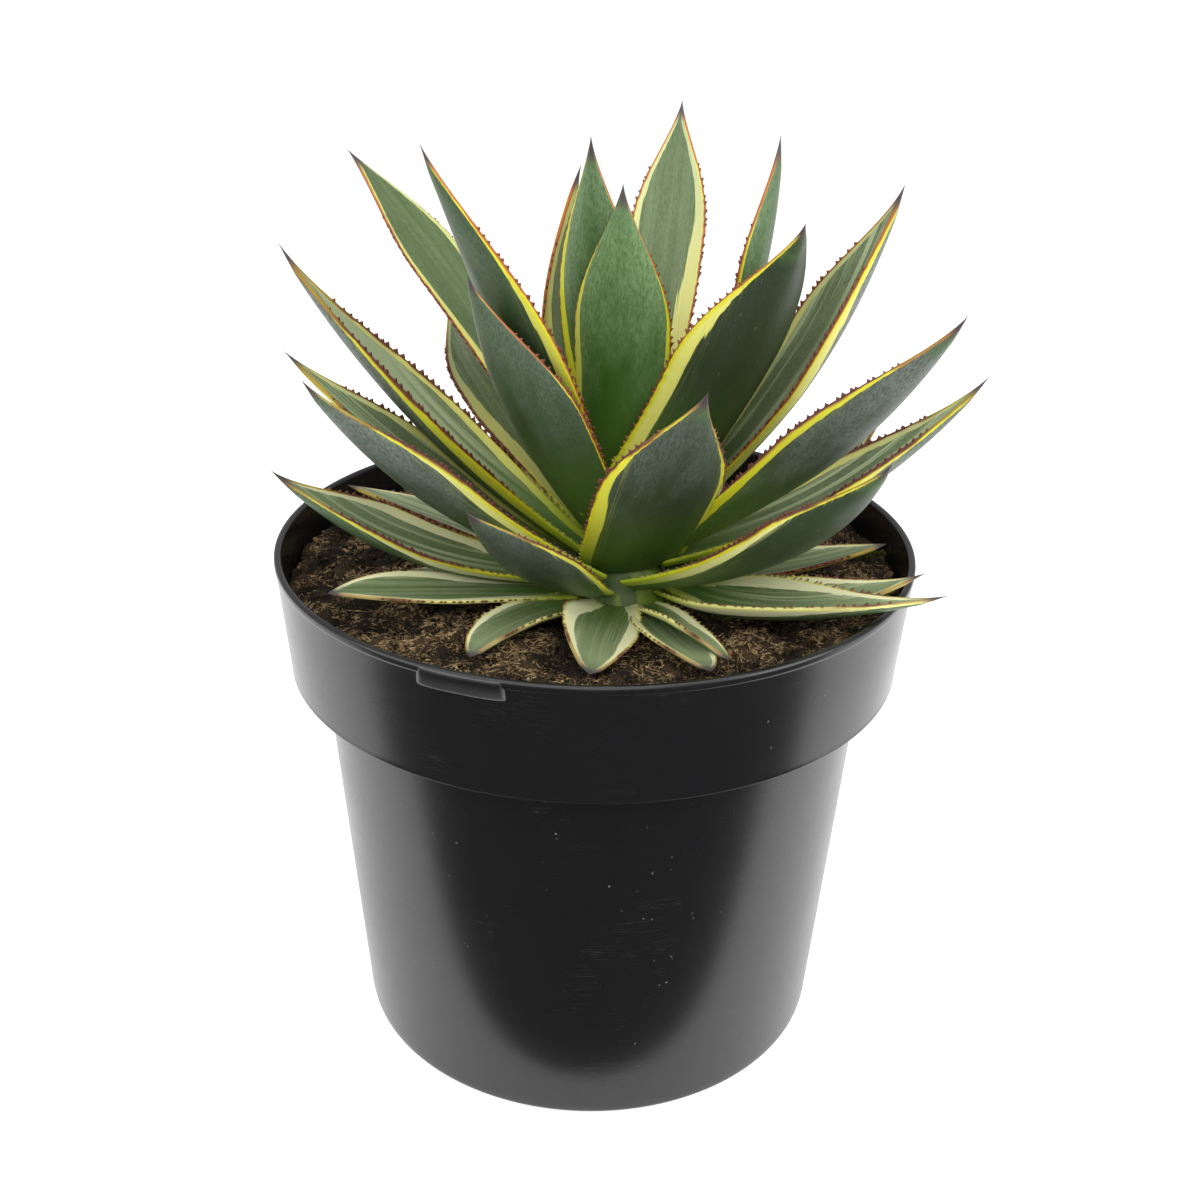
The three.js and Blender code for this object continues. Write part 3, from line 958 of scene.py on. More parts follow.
class EarthFinish(Finish):
    """Peat, coir, bark, perlite, moss and wood: a dark ground with lighter grains."""

    PATCH = (60.0, 3.0, 0.6)  # scale, detail and roughness
    RELIEF_SCALE = 1.6

    def __init__(self, name: str, dark: Colour, light: Colour, grain: float) -> None:
        """Starts an earthy finish.

        Args:
            name: Name of the material.
            dark: Colour of the damp parts.
            light: Colour of the dry parts.
            grain: Grains in a metre.
        """
        super().__init__()
        self.name, self.dark, self.light, self.grain = name, dark, light, grain

    def make(self) -> bpy.types.Material:
        """Returns the material."""
        n = Nodes(self.name)
        place = n.place()
        patch = n.noise(place, *self.PATCH)
        share = n.swayed(n.noise(place, self.grain, 5.0, 0.7), patch, 1.1)
        n.set(Base_Color=n.mix(n.ease(share, 0.38, 0.68), self.dark, self.light))
        n.set(Roughness=0.9)
        n.set(Specular_IOR_Level=0.2)
        relief = n.noise(place, self.grain * self.RELIEF_SCALE, 4.0, 0.7)
        n.set(Normal=n.bump(relief, 0.0006, 0.8))
        return n.material


class StemFinish(Finish):
    """Green core of the crown, darker and lighter along its length, with fine fibres."""

    DARK: Colour = (0.045, 0.085, 0.008)
    LIGHT: Colour = (0.125, 0.190, 0.015)
    FIBRE = Pattern((600.0, 600.0, 60.0), 4.0, 0.6)
    BASE = Pattern((190.0, 190.0, 14.0), 2.0, 0.5)

    def make(self) -> bpy.types.Material:
        """Returns the stem material."""
        n = Nodes("crown_core")
        place = n.place()
        fibre = n.pattern(place, self.FIBRE)
        share = n.plus(n.pattern(place, self.BASE), fibre, 0.15)
        n.set(Base_Color=n.mix(n.ease(share, 0.54, 0.64), self.DARK, self.LIGHT))
        n.set(Roughness=0.55)
        n.set(Normal=n.bump(fibre, 0.0002, 0.4))
        return n.material


# ------------------------------------------------------------------------------ the pot


@dataclass
class Pot:
    """Round nursery pot: tapering wall, wider collar, rounded lip, drained floor, label pocket."""

    height: float = 175.4
    rim_radius: float = 105.0
    collar_foot_radius: float = 101.7
    collar_foot: float = 136.0
    body_top_radius: float = 91.4
    body_foot_radius: float = 81.4
    wall: float = 2.0
    floor: float = 2.5
    lip_radius: float = 1.2
    sides: int = 288
    floor_inset: float = 7.0
    floor_underside: float = 0.6
    drain_count: int = 6
    drain_radius: float = 6.0
    drain_circle: float = 55.0
    drain_front: int = 17
    drain_back: int = 25
    pocket_azimuth: float = 249.5
    pocket_span: float = 15.5
    pocket_top: float = 174.9
    pocket_height: float = 6.0
    pocket_root: float = 1.4
    pocket_stations: int = 41
    longest_step: float = 6.0
    finish: PlasticFinish = field(default_factory=PlasticFinish)

    def collar_inner(self, height: float) -> float:
        """Inner radius of the collar at a height.

        Args:
            height: Height above the pot's underside.

        Returns:
            The radius in millimetres.
        """
        share = (height - self.collar_foot) / (self.height - self.collar_foot)
        widening = (self.rim_radius - self.collar_foot_radius) * share
        return self.collar_foot_radius + widening - self.wall

    def wall_profile(self) -> Array:
        """Profile of the wall: up the outside, over the lip and down the inside to the floor.

        Returns:
            N x 2 pairs of radius and height, first and last on the floor's plate.
        """
        ledge = self.collar_foot + self.wall
        lip = self.lip_radius
        corners = [
            (self.body_foot_radius - 9.0, 0.35, 0.0),
            (self.body_foot_radius - 3.2, 0.0, 0.8),
            (self.body_foot_radius - 0.4, 0.9, 1.4),
            (self.body_foot_radius + 0.1, 3.6, 1.5),
            (self.body_top_radius, self.collar_foot - 0.1, 0.5),
            (self.body_top_radius + 0.9, self.collar_foot + 0.9, 0.5),
            (self.collar_foot_radius - 1.2, self.collar_foot + 0.9, 0.5),
            (self.collar_foot_radius - 1.0, self.collar_foot, 0.35),
            (self.collar_foot_radius + 0.15, self.collar_foot + 0.1, 0.45),
            (self.collar_foot_radius + 0.1, self.collar_foot + 1.4, 0.6),
            (self.rim_radius - 0.35, self.height - 2.6, 0.5),
            (self.rim_radius, self.height - 2.3, 0.5),
            (self.rim_radius, self.height, lip),
            (self.rim_radius - 2.0 * lip, self.height, lip),
            (self.collar_inner(ledge), ledge, 1.5),
            (self.body_top_radius - self.wall, ledge, 1.5),
            (self.body_foot_radius - self.wall, self.floor, 1.5),
            (self.body_foot_radius - 9.0, self.floor, 0.0),
        ]
        return refined(rounded(corners), self.longest_step)

    def wall_shell(self) -> Shell:
        """Turns the wall profile about the axis, closed on itself as a ring.

        Returns:
            A closed ring-shaped shell.
        """
        profile = self.wall_profile()
        rings = turned(profile, self.sides)
        return Shell(rings.reshape(-1, 3), loop_faces(len(profile), self.sides)).outward()

    def floor_shell(self) -> Shell:
        """Floor plate with its drain holes, in one equal sector for each hole.

        In a sector, a ray from the hole's middle at angle b runs from the hole's edge to the
        sector's edge: point = middle + d(b) ((1 - s) r + s L(b)), with L the least distance along
        the ray to the sector's two straight sides and to the outer circle.

        Returns:
            One closed shell for each sector.
        """
        outer = self.body_foot_radius - self.floor_inset
        half = math.pi / self.drain_count
        corner = np.array([outer * math.cos(half) - self.drain_circle, outer * math.sin(half)])
        turning = math.atan2(corner[1], corner[0])
        front = np.linspace(-turning, turning, self.drain_front)[:-1]
        back = np.linspace(turning, 2.0 * math.pi - turning, self.drain_back)[:-1]
        around = np.concatenate([front, back])
        ray = np.stack([np.cos(around), np.sin(around)], axis=1)
        middle = np.array([self.drain_circle, 0.0])
        along = ray @ middle
        reach = -along + np.sqrt(along**2 + outer**2 - self.drain_circle**2)
        for sign in (1.0, -1.0):
            normal = np.array([-math.sin(half), sign * math.cos(half)])
            closing = ray @ normal
            away = -(middle @ normal) / np.maximum(closing, 1e-9)
            reach = np.minimum(reach, np.where(closing > 1e-9, away, np.inf))
        share = np.array([0.0, 0.06, 0.5, 1.0])[:, None]
        flat = middle + ray[None] * ((1 - share) * self.drain_radius + share * reach)[:, :, None]
        levels = ((flat, self.floor_underside), (flat[::-1], self.floor - 0.1))
        rings = np.concatenate([np.dstack([f, np.full(f.shape[:2], z)]) for f, z in levels])
        faces = loop_faces(len(rings), len(around))
        sector = Shell(rings.reshape(-1, 3), faces).outward()
        angles = np.arange(self.drain_count) * (2.0 * half)
        cosine, sine, zero = np.cos(angles), np.sin(angles), np.zeros(self.drain_count)
        frames = np.array([[cosine, sine, zero], [-sine, cosine, zero], [zero, zero, zero + 1.0]])
        return copies(sector, frames.transpose(2, 0, 1), np.zeros((self.drain_count, 3)))

    def pocket_shell(self) -> Shell:
        """Label pocket under the lip: a bar bent round the collar, softly rounded.

        Section corners (depth, height) run round the bar at each angle a; towards each end the
        depth falls as sqrt(1 - s^8). Its one attribute, highest at the lower edge and the ends,
        says where a paler grey is painted as a highlight.

        Returns:
            A closed shell.
        """
        half = math.radians(self.pocket_span / 2.0)
        stations = np.linspace(-1.0, 1.0, self.pocket_stations)
        inner = self.rim_radius - self.pocket_root
        top, bottom = self.pocket_top, self.pocket_top - self.pocket_height
        section = rounded(
            [
                (0.0, bottom + 0.2, 0.0),
                (1.2, bottom, 0.3),
                (2.1, bottom + 0.5, 0.6),
                (1.9, top - 1.4, 0.4),
                (1.7, top, 0.5),
                (1.25, top, 0.25),
                (1.15, top - 1.6, 0.3),
                (0.8, top - 1.6, 0.3),
                (0.75, top, 0.25),
                (0.0, top - 0.1, 0.0),
            ],
            3,
        )
        keep = np.sqrt(np.maximum(1.0 - np.abs(stations) ** 8, 0.02))
        angle = math.radians(self.pocket_azimuth) + half * stations
        radius = inner + section[None, :, 0] * keep[:, None]
        points = np.stack(
            [
                radius * np.cos(angle)[:, None],
                radius * np.sin(angle)[:, None],
                np.broadcast_to(section[None, :, 1], radius.shape),
            ],
            axis=-1,
        )
        ends = np.stack([points[0].mean(axis=0), points[-1].mean(axis=0)])
        every = np.concatenate([points.reshape(-1, 3), ends])
        # Where the finish paints a highlight: most on the lower edge, less on the top edge, and at
        # the ends
        lower = np.exp(-(((section[:, 1] - bottom) / 0.9) ** 2))
        upper = np.exp(-(((section[:, 1] - top) / 0.5) ** 2))
        edge = lower + 0.6 * upper
        near_end = 0.9 * smoothstep(0.86, 0.97, np.abs(stations))
        edge_highlight = np.maximum(edge[None, :], near_end[:, None]).reshape(-1)
        values = {"edge_highlight": np.concatenate([edge_highlight, np.ones(len(ends))])}
        return Shell(every, tube_faces(len(stations), len(section)), values).outward()

    def build(self) -> None:
        """Makes the pot's one piece, which stands for the CAD pot."""
        plain = [self.wall_shell(), self.floor_shell()]
        for part in plain:
            # The wall and the floor get no painted highlight
            part.values["edge_highlight"] = np.zeros(len(part.points))
        shell = joined([*plain, self.pocket_shell()])
        build("pot_shell", shell, self.finish, Slot.POT, ("pot",))


# ------------------------------------------------------------------------------ the soil


@dataclass
class Soil:
    """Potting soil: a lumpy bed under loose crumbs, fibres, chips, perlite, moss and sticks."""

    level: float = 163.0
    dish_depth: float = 4.0
    dish_reach: float = 58.0
    lump: float = 0.9
    stem_x: float = 9.0
    stem_y: float = -9.0
    radius: float = 101.2
    bed_rings: int = 92
    bed_sides: int = 384
    bed_depth: float = 12.0
    edge_start: float = 97.0
    edge_fall: float = 1.2
    wave_count: int = 60
    wave_lengths: tuple[float, float] = (2.5, 14.0)
    wave_height: float = 0.016
    crown_clear: float = 15.0
    wall_clear: float = 1.5
    crumbs: int = 6200
    fibres: int = 8000
    fibre_stations: int = 6
    fibre_clear: float = 4.0
    fibre_curl: float = 1.6
    fibre_lift: float = 0.5
    moss_places: tuple[tuple[float, float], ...] = (
        (-64.0, 9.0),
        (94.0, 16.0),
        (39.0, -30.0),
        (-58.0, 26.0),
    )
    moss_blades: int = 260
    moss_radius: float = 6.5
    moss_dome: float = 1.6
    moss_half_width: float = 0.22

    def height(self, x: Array, y: Array) -> Array:
        """Height of the CAD soil: a shallow dish round the plant, and low lumps.

        Args:
            x: Places across.
            y: Places along.

        Returns:
            Heights in millimetres.
        """
        away = np.clip(np.hypot(x - self.stem_x, y - self.stem_y) / self.dish_reach, 0.0, 1.0)
        lumps = np.sin(x * 0.21 + 1.3) * np.cos(y * 0.17 - 0.6) + 0.6 * np.sin(x * 0.37 - y * 0.31)
        return self.level - self.dish_depth * (1.0 - away**2) + self.lump * lumps

    def crumble(self, x: Array, y: Array, rng: np.random.Generator) -> Array:
        """Fine unevenness: a sum of waves of random direction, phase and length.

        Each wave is 0.016 of its length high, which makes 0.8 mm in the root mean square.

        Args:
            x: Places across.
            y: Places along.
            rng: Random source.

        Returns:
            Heights in millimetres.
        """
        total = np.zeros_like(x)
        for _ in range(self.wave_count):
            length = rng.uniform(*self.wave_lengths)
            angle, phase = rng.uniform(0.0, 2.0 * math.pi, 2)
            wave = (x * math.cos(angle) + y * math.sin(angle)) * (2.0 * math.pi / length) + phase
            total += np.sin(wave) * length * self.wave_height
        return total

    def bed(self, rng: np.random.Generator) -> Shell:
        """Bed of soil: rings of points at the CAD height plus crumble, closed underneath.

        Args:
            rng: Random source.

        Returns:
            A closed shell.
        """
        share = (np.arange(self.bed_rings) + 0.6) / (self.bed_rings - 0.4)
        angle = circle(self.bed_sides)
        radius = self.radius * share
        x = radius[:, None] * np.cos(angle)
        y = radius[:, None] * np.sin(angle)
        z = self.height(x, y) + self.crumble(x, y, rng)
        z -= self.edge_fall * smoothstep(self.edge_start, self.radius, np.hypot(x, y))
        top = np.stack([x, y, z], axis=-1)[::-1]
        base = self.level - self.bed_depth
        low = np.stack([x[-1], y[-1], np.full(self.bed_sides, base)], axis=-1)
        points = np.concatenate([low[None], top]).reshape(-1, 3)
        poles = np.array([[0.0, 0.0, base], [0.0, 0.0, float(z[0].mean())]])
        faces = tube_faces(self.bed_rings + 1, self.bed_sides)
        return Shell(np.concatenate([points, poles]), faces).outward()

    def spots(self, rng: np.random.Generator, count: int, clear: float) -> Array:
        """Even random places on the soil, none under the crown.

        Args:
            rng: Random source.
            count: How many.
            clear: Distance kept from the pot's wall.

        Returns:
            count x 3 places on the bed.
        """
        angle = rng.uniform(0.0, 2.0 * math.pi, 2 * count)
        radius = (self.radius - clear) * np.sqrt(rng.uniform(0.0, 1.0, 2 * count))
        x, y = radius * np.cos(angle), radius * np.sin(angle)
        free = np.hypot(x - self.stem_x, y - self.stem_y) > self.crown_clear
        x, y = x[free][:count], y[free][:count]
        return np.stack([x, y, self.height(x, y)], axis=1)

    def crumb_shell(self, rng: np.random.Generator, count: int, low: float, high: float) -> Shell:
        """Loose grains: stretched pebbles, most of them small: size = low + (high - low) u^3.

        Args:
            rng: Random source.
            count: How many.
            low: Least half size.
            high: Greatest half size.

        Returns:
            One shell of grains.
        """
        places = self.spots(rng, count, clear=high + 0.5)
        size = low + (high - low) * rng.uniform(0.0, 1.0, len(places)) ** 3
        stretch = rng.uniform(0.55, 1.3, (len(places), 3)) * size[:, None]
        frames = random_frames(rng, len(places)) * stretch[:, :, None]
        places[:, 2] += size * rng.uniform(-0.1, 0.7, len(places))
        return copies(pebble(3, 5), frames, places)

    def fibre_shell(
        self, rng: np.random.Generator, count: int, length: tuple[float, float], half: float
    ) -> Shell:
        """Curled fibres lying on the bed.

        Each is an arc: angle = start + curl s, points summed along it, rising by a low hump.

        Args:
            rng: Random source.
            count: How many.
            length: Least and greatest length.
            half: Greatest half width.

        Returns:
            One shell of fibres.
        """
        places = self.spots(rng, count, self.fibre_clear)
        count = len(places)
        reach = rng.uniform(*length, count)[:, None]
        share = np.linspace(0.0, 1.0, self.fibre_stations)
        start = rng.uniform(0.0, 2 * math.pi, count)[:, None]
        angle = start + rng.uniform(-self.fibre_curl, self.fibre_curl, count)[:, None] * share
        step = reach / self.fibre_stations
        x = places[:, :1] + np.cumsum(np.cos(angle) * step, axis=1)
        y = places[:, 1:2] + np.cumsum(np.sin(angle) * step, axis=1)
        away = np.hypot(x, y)
        keep = np.minimum(1.0, (self.radius - self.wall_clear) / away)
        x, y = x * keep, y * keep
        hump = rng.uniform(0.1, 0.5, count)[:, None] * reach * 0.5 * share * (1 - share)
        tilt = rng.uniform(-0.04, 0.16, count)[:, None] * reach * share
        z = self.height(x, y) + self.fibre_lift + hump + tilt
        thinning = np.sin(math.pi * (0.12 + 0.76 * share))
        widths = rng.uniform(0.35, 1.0, count)[:, None] * half * thinning
        return threads(np.stack([x, y, z], axis=-1), widths)

    def moss_shell(self, rng: np.random.Generator) -> Shell:
        """Low cushions of moss: short blades standing out of small domes.

        Args:
            rng: Random source.

        Returns:
            One shell of blades.
        """
        count, share = self.moss_blades, np.linspace(0.0, 1.0, 4)
        paths = []
        for x, y in self.moss_places:
            away = self.moss_radius * np.sqrt(rng.uniform(0.0, 1.0, count))
            angle = rng.uniform(0.0, 2 * math.pi, count)
            root_x, root_y = x + away * np.cos(angle), y + 0.7 * away * np.sin(angle)
            dome = self.moss_dome * (1.0 - (away / self.moss_radius) ** 2)
            root_z = self.height(root_x, root_y) + dome - 0.4
            root = np.stack([root_x, root_y, root_z], axis=1)
            lean = rng.normal(0.0, 0.7, (count, 3))
            lean[:, 2] = np.abs(lean[:, 2]) + 0.8
            reach = rng.uniform(0.9, 2.0, count)[:, None]
            paths.append(root[:, None, :] + (unit(lean) * reach)[:, None, :] * share[:, None])
        every = np.concatenate(paths)
        return threads(every, np.full(every.shape[:2], self.moss_half_width))

    def build(self) -> None:
        """Makes the soil's pieces; the bed stands for the CAD soil."""
        rng = np.random.default_rng(SEED)
        peat = EarthFinish("peat", (0.006, 0.0038, 0.0022), (0.060, 0.038, 0.018), 1300.0)
        crumb = EarthFinish("peat_crumbs", (0.008, 0.005, 0.003), (0.200, 0.132, 0.060), 700.0)
        coir = EarthFinish("coir_fibre", (0.050, 0.030, 0.013), (0.640, 0.470, 0.250), 600.0)
        chip = EarthFinish("coir_chips", (0.010, 0.006, 0.003), (0.520, 0.360, 0.175), 600.0)
        bark = EarthFinish("bark_chips", (0.020, 0.012, 0.007), (0.110, 0.070, 0.038), 500.0)
        perlite = EarthFinish("perlite", (0.42, 0.40, 0.35), (0.70, 0.69, 0.64), 1500.0)
        moss = EarthFinish("moss", (0.045, 0.055, 0.008), (0.230, 0.230, 0.045), 900.0)
        twig = EarthFinish("dry_sticks", (0.070, 0.042, 0.020), (0.280, 0.185, 0.095), 500.0)
        build("soil_bed", self.bed(rng), peat, Slot.SOIL, ("soil",))
        build("soil_crumbs", self.crumb_shell(rng, self.crumbs, 0.25, 1.5), crumb, Slot.SOIL)
        build("coir_fibres", self.fibre_shell(rng, self.fibres, (1.6, 7.0), 0.14), coir, Slot.SOIL)
        build("coir_chips", self.fibre_shell(rng, self.fibres, (1.0, 3.6), 0.26), chip, Slot.SOIL)
        build("bark_flecks", self.crumb_shell(rng, 160, 0.5, 1.9), bark, Slot.SOIL)
        build("perlite_grains", self.crumb_shell(rng, 70, 0.25, 0.70), perlite, Slot.SOIL)
        build("moss_tufts", self.moss_shell(rng), moss, Slot.SOIL)
        build("dry_sticks", self.fibre_shell(rng, 40, (10.0, 22.0), 0.42), twig, Slot.SOIL)


# ------------------------------------------------------------------------------ the plant


@dataclass
class Crown:
    """Short dome that carries the leaves."""

    x: float = 9.0
    y: float = -9.0
    top_radius: float = 2.0
    flare: float = 17.0
    top: float = 187.0
    drop: float = 25.0
    power: float = 0.8
    foot: float = 150.0
    foot_radius: float = 15.0
    shoulder_radius: float = 18.6
    shoulder_drop: float = 6.0
    sink: float = 2.0
    tip_sink: float = 1.6
    sides: int = 72
    steps: int = 18

    def point(self, age: float, azimuth: float) -> Array:
        """Where a leaf grows from: radius 2 + 17 age^0.8 at height 187 - 25 age^0.8.

        Args:
            age: Age of the leaf.
            azimuth: Direction of the leaf, in radians.

        Returns:
            The point in millimetres.
        """
        spread = age**self.power
        radius = self.top_radius + self.flare * spread
        x = self.x + radius * math.cos(azimuth)
        y = self.y + radius * math.sin(azimuth)
        return np.array([x, y, self.top - self.drop * spread])

    def build(self) -> None:
        """Makes the crown, a little under the leaves' roots; it stands for the CAD stem."""
        spread = np.linspace(1.0, 0.0, self.steps)
        radius = self.top_radius + self.flare * spread
        dome = np.stack([radius, self.top - self.sink - self.drop * spread], axis=1)
        shoulder = self.top - self.drop - self.shoulder_drop
        low = [[0.0, self.foot], [self.foot_radius, self.foot], [self.shoulder_radius, shoulder]]
        profile = np.concatenate([np.array(low), dome, [[0.0, self.top - self.tip_sink]]])
        shell = lathe(profile, self.sides, (self.x, self.y))
        build("crown_core", shell, StemFinish(), Slot.STEM, ("stem",))


@dataclass
class Blade:
    """One leaf: a channelled blade along a bowed line, with toothed margins and an end spine.

    Age runs from 0 in the heart to 1 in the lowest ring. The chord from base to tip has its azimuth
    and rise in degrees and its reach in millimetres; sag and sway are its greatest bows down and
    sideways, and roll turns it about its line. Channel is half the angle of the section's arc at
    mid length, widest the share of the chord where the leaf is widest, base its width at the foot
    as a share of the greatest, and spine the spine's length. Margin, midrib and foot are
    thicknesses.
    """

    number: int
    age: float
    azimuth: float
    rise: float
    reach: float
    width: float
    sag: float
    sway: float
    roll: float
    channel: float
    widest: float
    base: float
    spine: float
    band_near: float
    band_far: float
    band_back: float
    fresh: float
    dust: float
    streaks: float
    gold: float
    margin: float = 1.2
    midrib: float = 1.7
    foot: float = 3.6
    spine_radius: float = 0.9
    lanes: int = 10
    least_stations: int = 70
    station_step: float = 0.95
    tooth_pitch: float = 2.7
    tooth_sides: int = 6
    bump: float = 0.32
    bump_width: float = 0.75
    waver: float = 0.16

    TOOTH_RISE = np.array([-0.45, 0.15, 0.60, 1.0])
    TOOTH_LONG = np.array([1.05, 0.80, 0.36, 0.0])
    TOOTH_THICK = np.array([0.40, 0.34, 0.19, 0.0])
    TOOTH_HOOK = np.array([0.0, 0.04, 0.24, 0.58])
    TOOTH_HORN = (0.15, 0.55, 1.0)
    TOOTH_BAND = 2.0

    def __post_init__(self) -> None:
        """Works out the blade's directions from its angles."""
        turn, lift = math.radians(self.azimuth), math.radians(self.rise)
        level = math.cos(lift)
        self.side = np.array([-math.sin(turn), math.cos(turn), 0.0])
        self.chord = np.array([math.cos(turn) * level, math.sin(turn) * level, math.sin(lift)])
        self.inner = np.cross(self.chord, self.side)
        self.root = Crown().point(self.age, turn)
        self.rng = np.random.default_rng(SEED + self.number)
        self.spine_share = self.spine / self.reach

    def width_share(self, t: Array) -> Array:
        """Share of the greatest width at each share t of the chord.

        It is base + (1 - base) sin(pi t / 2w)^1.3 up to the widest place w, and beyond it
        sin(pi (1 - t) / 2(1 - w))^p, with p from 0.62 for a 3 mm spine to 1.4 for 8 mm or more, so
        that a leaf with a long spine is drawn out into it and one with a short spine ends bluntly.

        Args:
            t: Shares of the chord, from 0 at the base to 1 at the tip.

        Returns:
            Shares from 0 to 1.
        """
        quarter = math.pi / 2.0
        drawn_out = min(max((self.spine - 3.0) / 5.0, 0.0), 1.0)
        power = 0.62 + 0.78 * drawn_out
        swell = np.sin(quarter * np.clip(t / self.widest, 0.0, 1.0)) ** 1.3
        taper = np.sin(quarter * np.clip((1.0 - t) / (1.0 - self.widest), 0.0, 1.0)) ** power
        return np.where(t < self.widest, self.base + (1.0 - self.base) * swell, taper)

    def sections(self, t: Array) -> dict[str, Array]:
        """Centre, directions and sizes of the section at each share t of the chord.

        centre = root + chord reach t - inner sag 4t(1-t) + side sway 4t(1-t); the section turns
        about the centre line by roll min(2t, 1).

        Args:
            t: Shares from 0 at the base to 1 at the tip.

        Returns:
            Arrays by name.
        """
        bow, slope = 4.0 * t * (1.0 - t), 4.0 * (1.0 - 2.0 * t)
        lean = -self.inner * self.sag + self.side * self.sway
        centre = self.root + self.chord * (self.reach * t)[:, None] + lean * bow[:, None]
        along = unit(self.chord * self.reach + lean * slope[:, None])
        across = unit(self.side - along * (along @ self.side)[:, None])
        across = turn_about(across, along, math.radians(self.roll) * np.clip(2.0 * t, 0.0, 1.0))
        spine_half = self.spine_radius * np.clip((1.0 - t) / self.spine_share, 0.0, 1.0)
        middle = self.midrib + (self.foot - self.midrib) * (1.0 - t) ** 1.5
        return {
            "centre": centre,
            "along": along,
            "across": across,
            "up": np.cross(along, across),
            "half": np.maximum(self.width / 2.0 * self.width_share(t), spine_half),
            "bend": math.radians(self.channel) * (0.75 + 0.5 * t),
            "middle": np.minimum(middle, 2.0 * spine_half),
            "spine_half": spine_half,
        }

    def tooth_places(self, side: float) -> Array:
        """Shares of the chord for one margin's teeth: even steps, each moved by up to a third.

        Each call draws anew, so the bulges of the margin and the teeth keep their own places.

        Args:
            side: 1 or -1, the margin.

        Returns:
            Shares in rising order.
        """
        first, last = 0.055 * self.reach, (0.86 - 0.4 * self.spine_share) * self.reach
        steps = np.arange(first + (0.7 if side > 0 else 0.0), last, self.tooth_pitch)
        moved = steps + self.rng.uniform(-0.34, 0.34, len(steps)) * self.tooth_pitch
        return moved / self.reach

    def surface(self, t: Array, lane: Array, face: Array, swell: Array) -> Array:
        """Points of the skin.

        With arc = bend v and half width h: point = centre + across (h sin(arc) / bend -
        o sin(arc)) + up (h (1 - cos(arc)) / bend + o cos(arc)), where o is face times half the
        thickness, rounded off towards the margin over 0.6 of the margin's thickness, and never less
        than the spine's circle. The half width on the sine side is h plus the swell.

        Args:
            t: N shares along.
            lane: M lanes v from -1 to 1.
            face: M values, 1 on the upper side and -1 below.
            swell: N x M outward bulges of the margin.

        Returns:
            N x M x 3 points.
        """
        s = self.sections(t)
        half, bend = s["half"][:, None], s["bend"][:, None]
        spine_half = s["spine_half"][:, None]
        v = lane[None, :]
        edge = np.minimum(self.margin, 2.0 * spine_half)
        thickness = edge + (np.maximum(s["middle"][:, None], edge) - edge) * (1.0 - v * v)
        inset = np.clip(1.0 - half * (1.0 - np.abs(v)) / (edge * 0.6), 0.0, 1.0)
        body = thickness / 2.0 * np.sqrt(1.0 - inset * inset)
        outward = face[None, :] * np.maximum(body, spine_half * np.sqrt(1.0 - v * v))
        arc = bend * v
        wide = (half + swell) * np.sin(arc) / bend - outward * np.sin(arc)
        high = half * (1.0 - np.cos(arc)) / bend + outward * np.cos(arc)
        return (
            s["centre"][:, None, :]
            + s["across"][:, None, :] * wide[:, :, None]
            + s["up"][:, None, :] * high[:, :, None]
        )

    def band_at(self, t: Array, lane: Array, face: Array) -> Array:
        """Width of the pale band: wider low down, narrow at the tip, and wavering a little.

        It is the named width times 1.12 (1.14 - 0.78 e), with e eased from 0 at share 0.35 to 1 at
        0.96, and on the back times band_back (1 - 0.55 e'), with e' eased from 0.58 to 0.90. No
        band is under 0.3 mm wide.

        Args:
            t: N shares along.
            lane: M lanes.
            face: M faces.

        Returns:
            N x M widths in millimetres.
        """
        near, far = self.rng.uniform(0.0, 2.0 * math.pi, 2)
        band_near = self.band_near * (1.0 + self.waver * np.sin(t * 9.0 + near))
        band_far = self.band_far * (1.0 + self.waver * np.sin(t * 8.0 + far))
        share = np.where(lane[None, :] < 0.0, band_near[:, None], band_far[:, None])
        upper = 1.12 * (1.14 - 0.78 * smoothstep(0.35, 0.96, t))
        back = self.band_back * upper * (1.0 - 0.55 * smoothstep(0.58, 0.90, t))
        shape = np.where(face[None, :] > 0.0, upper[:, None], back[:, None])
        return np.maximum(share * shape, 0.3)

    def bulges(self, t: Array, lane: Array) -> Array:
        """Outward bulges of both margins: a row of bells, fading inwards with the lane as |v|^14.

        Args:
            t: N shares along.
            lane: M lanes.

        Returns:
            N x M bulges in millimetres.
        """
        swell = np.zeros((len(t), len(lane)))
        for side in (-1.0, 1.0):
            away = (t[:, None] - self.tooth_places(side)[None, :]) * self.reach / self.bump_width
            bells = np.exp(-(away**2)).sum(axis=1)
            near_margin = np.where(lane * side > 0.0, np.abs(lane), 0.0) ** 14
            swell += self.bump * bells[:, None] * near_margin[None, :]
        return swell

    def values(
        self, shape: tuple[int, ...], lane: Array | float, **varied: Array | float
    ) -> dict[str, Array]:
        """Spreads the leaf's attributes over its points.

        Args:
            shape: Shape of the points.
            lane: Lane of each point, in any shape that spreads over the points.
            varied: The other attributes that vary over the leaf, likewise.

        Returns:
            Every attribute, in the shape of the points.
        """
        tint = np.array([self.fresh, self.dust, self.streaks])
        every = {**varied, "age": self.age, "lane": lane, "tint": tint, "gold": self.gold}
        return {
            name: np.broadcast_to(value, (*shape, 3) if name in VECTORS else shape)
            for name, value in every.items()
        }

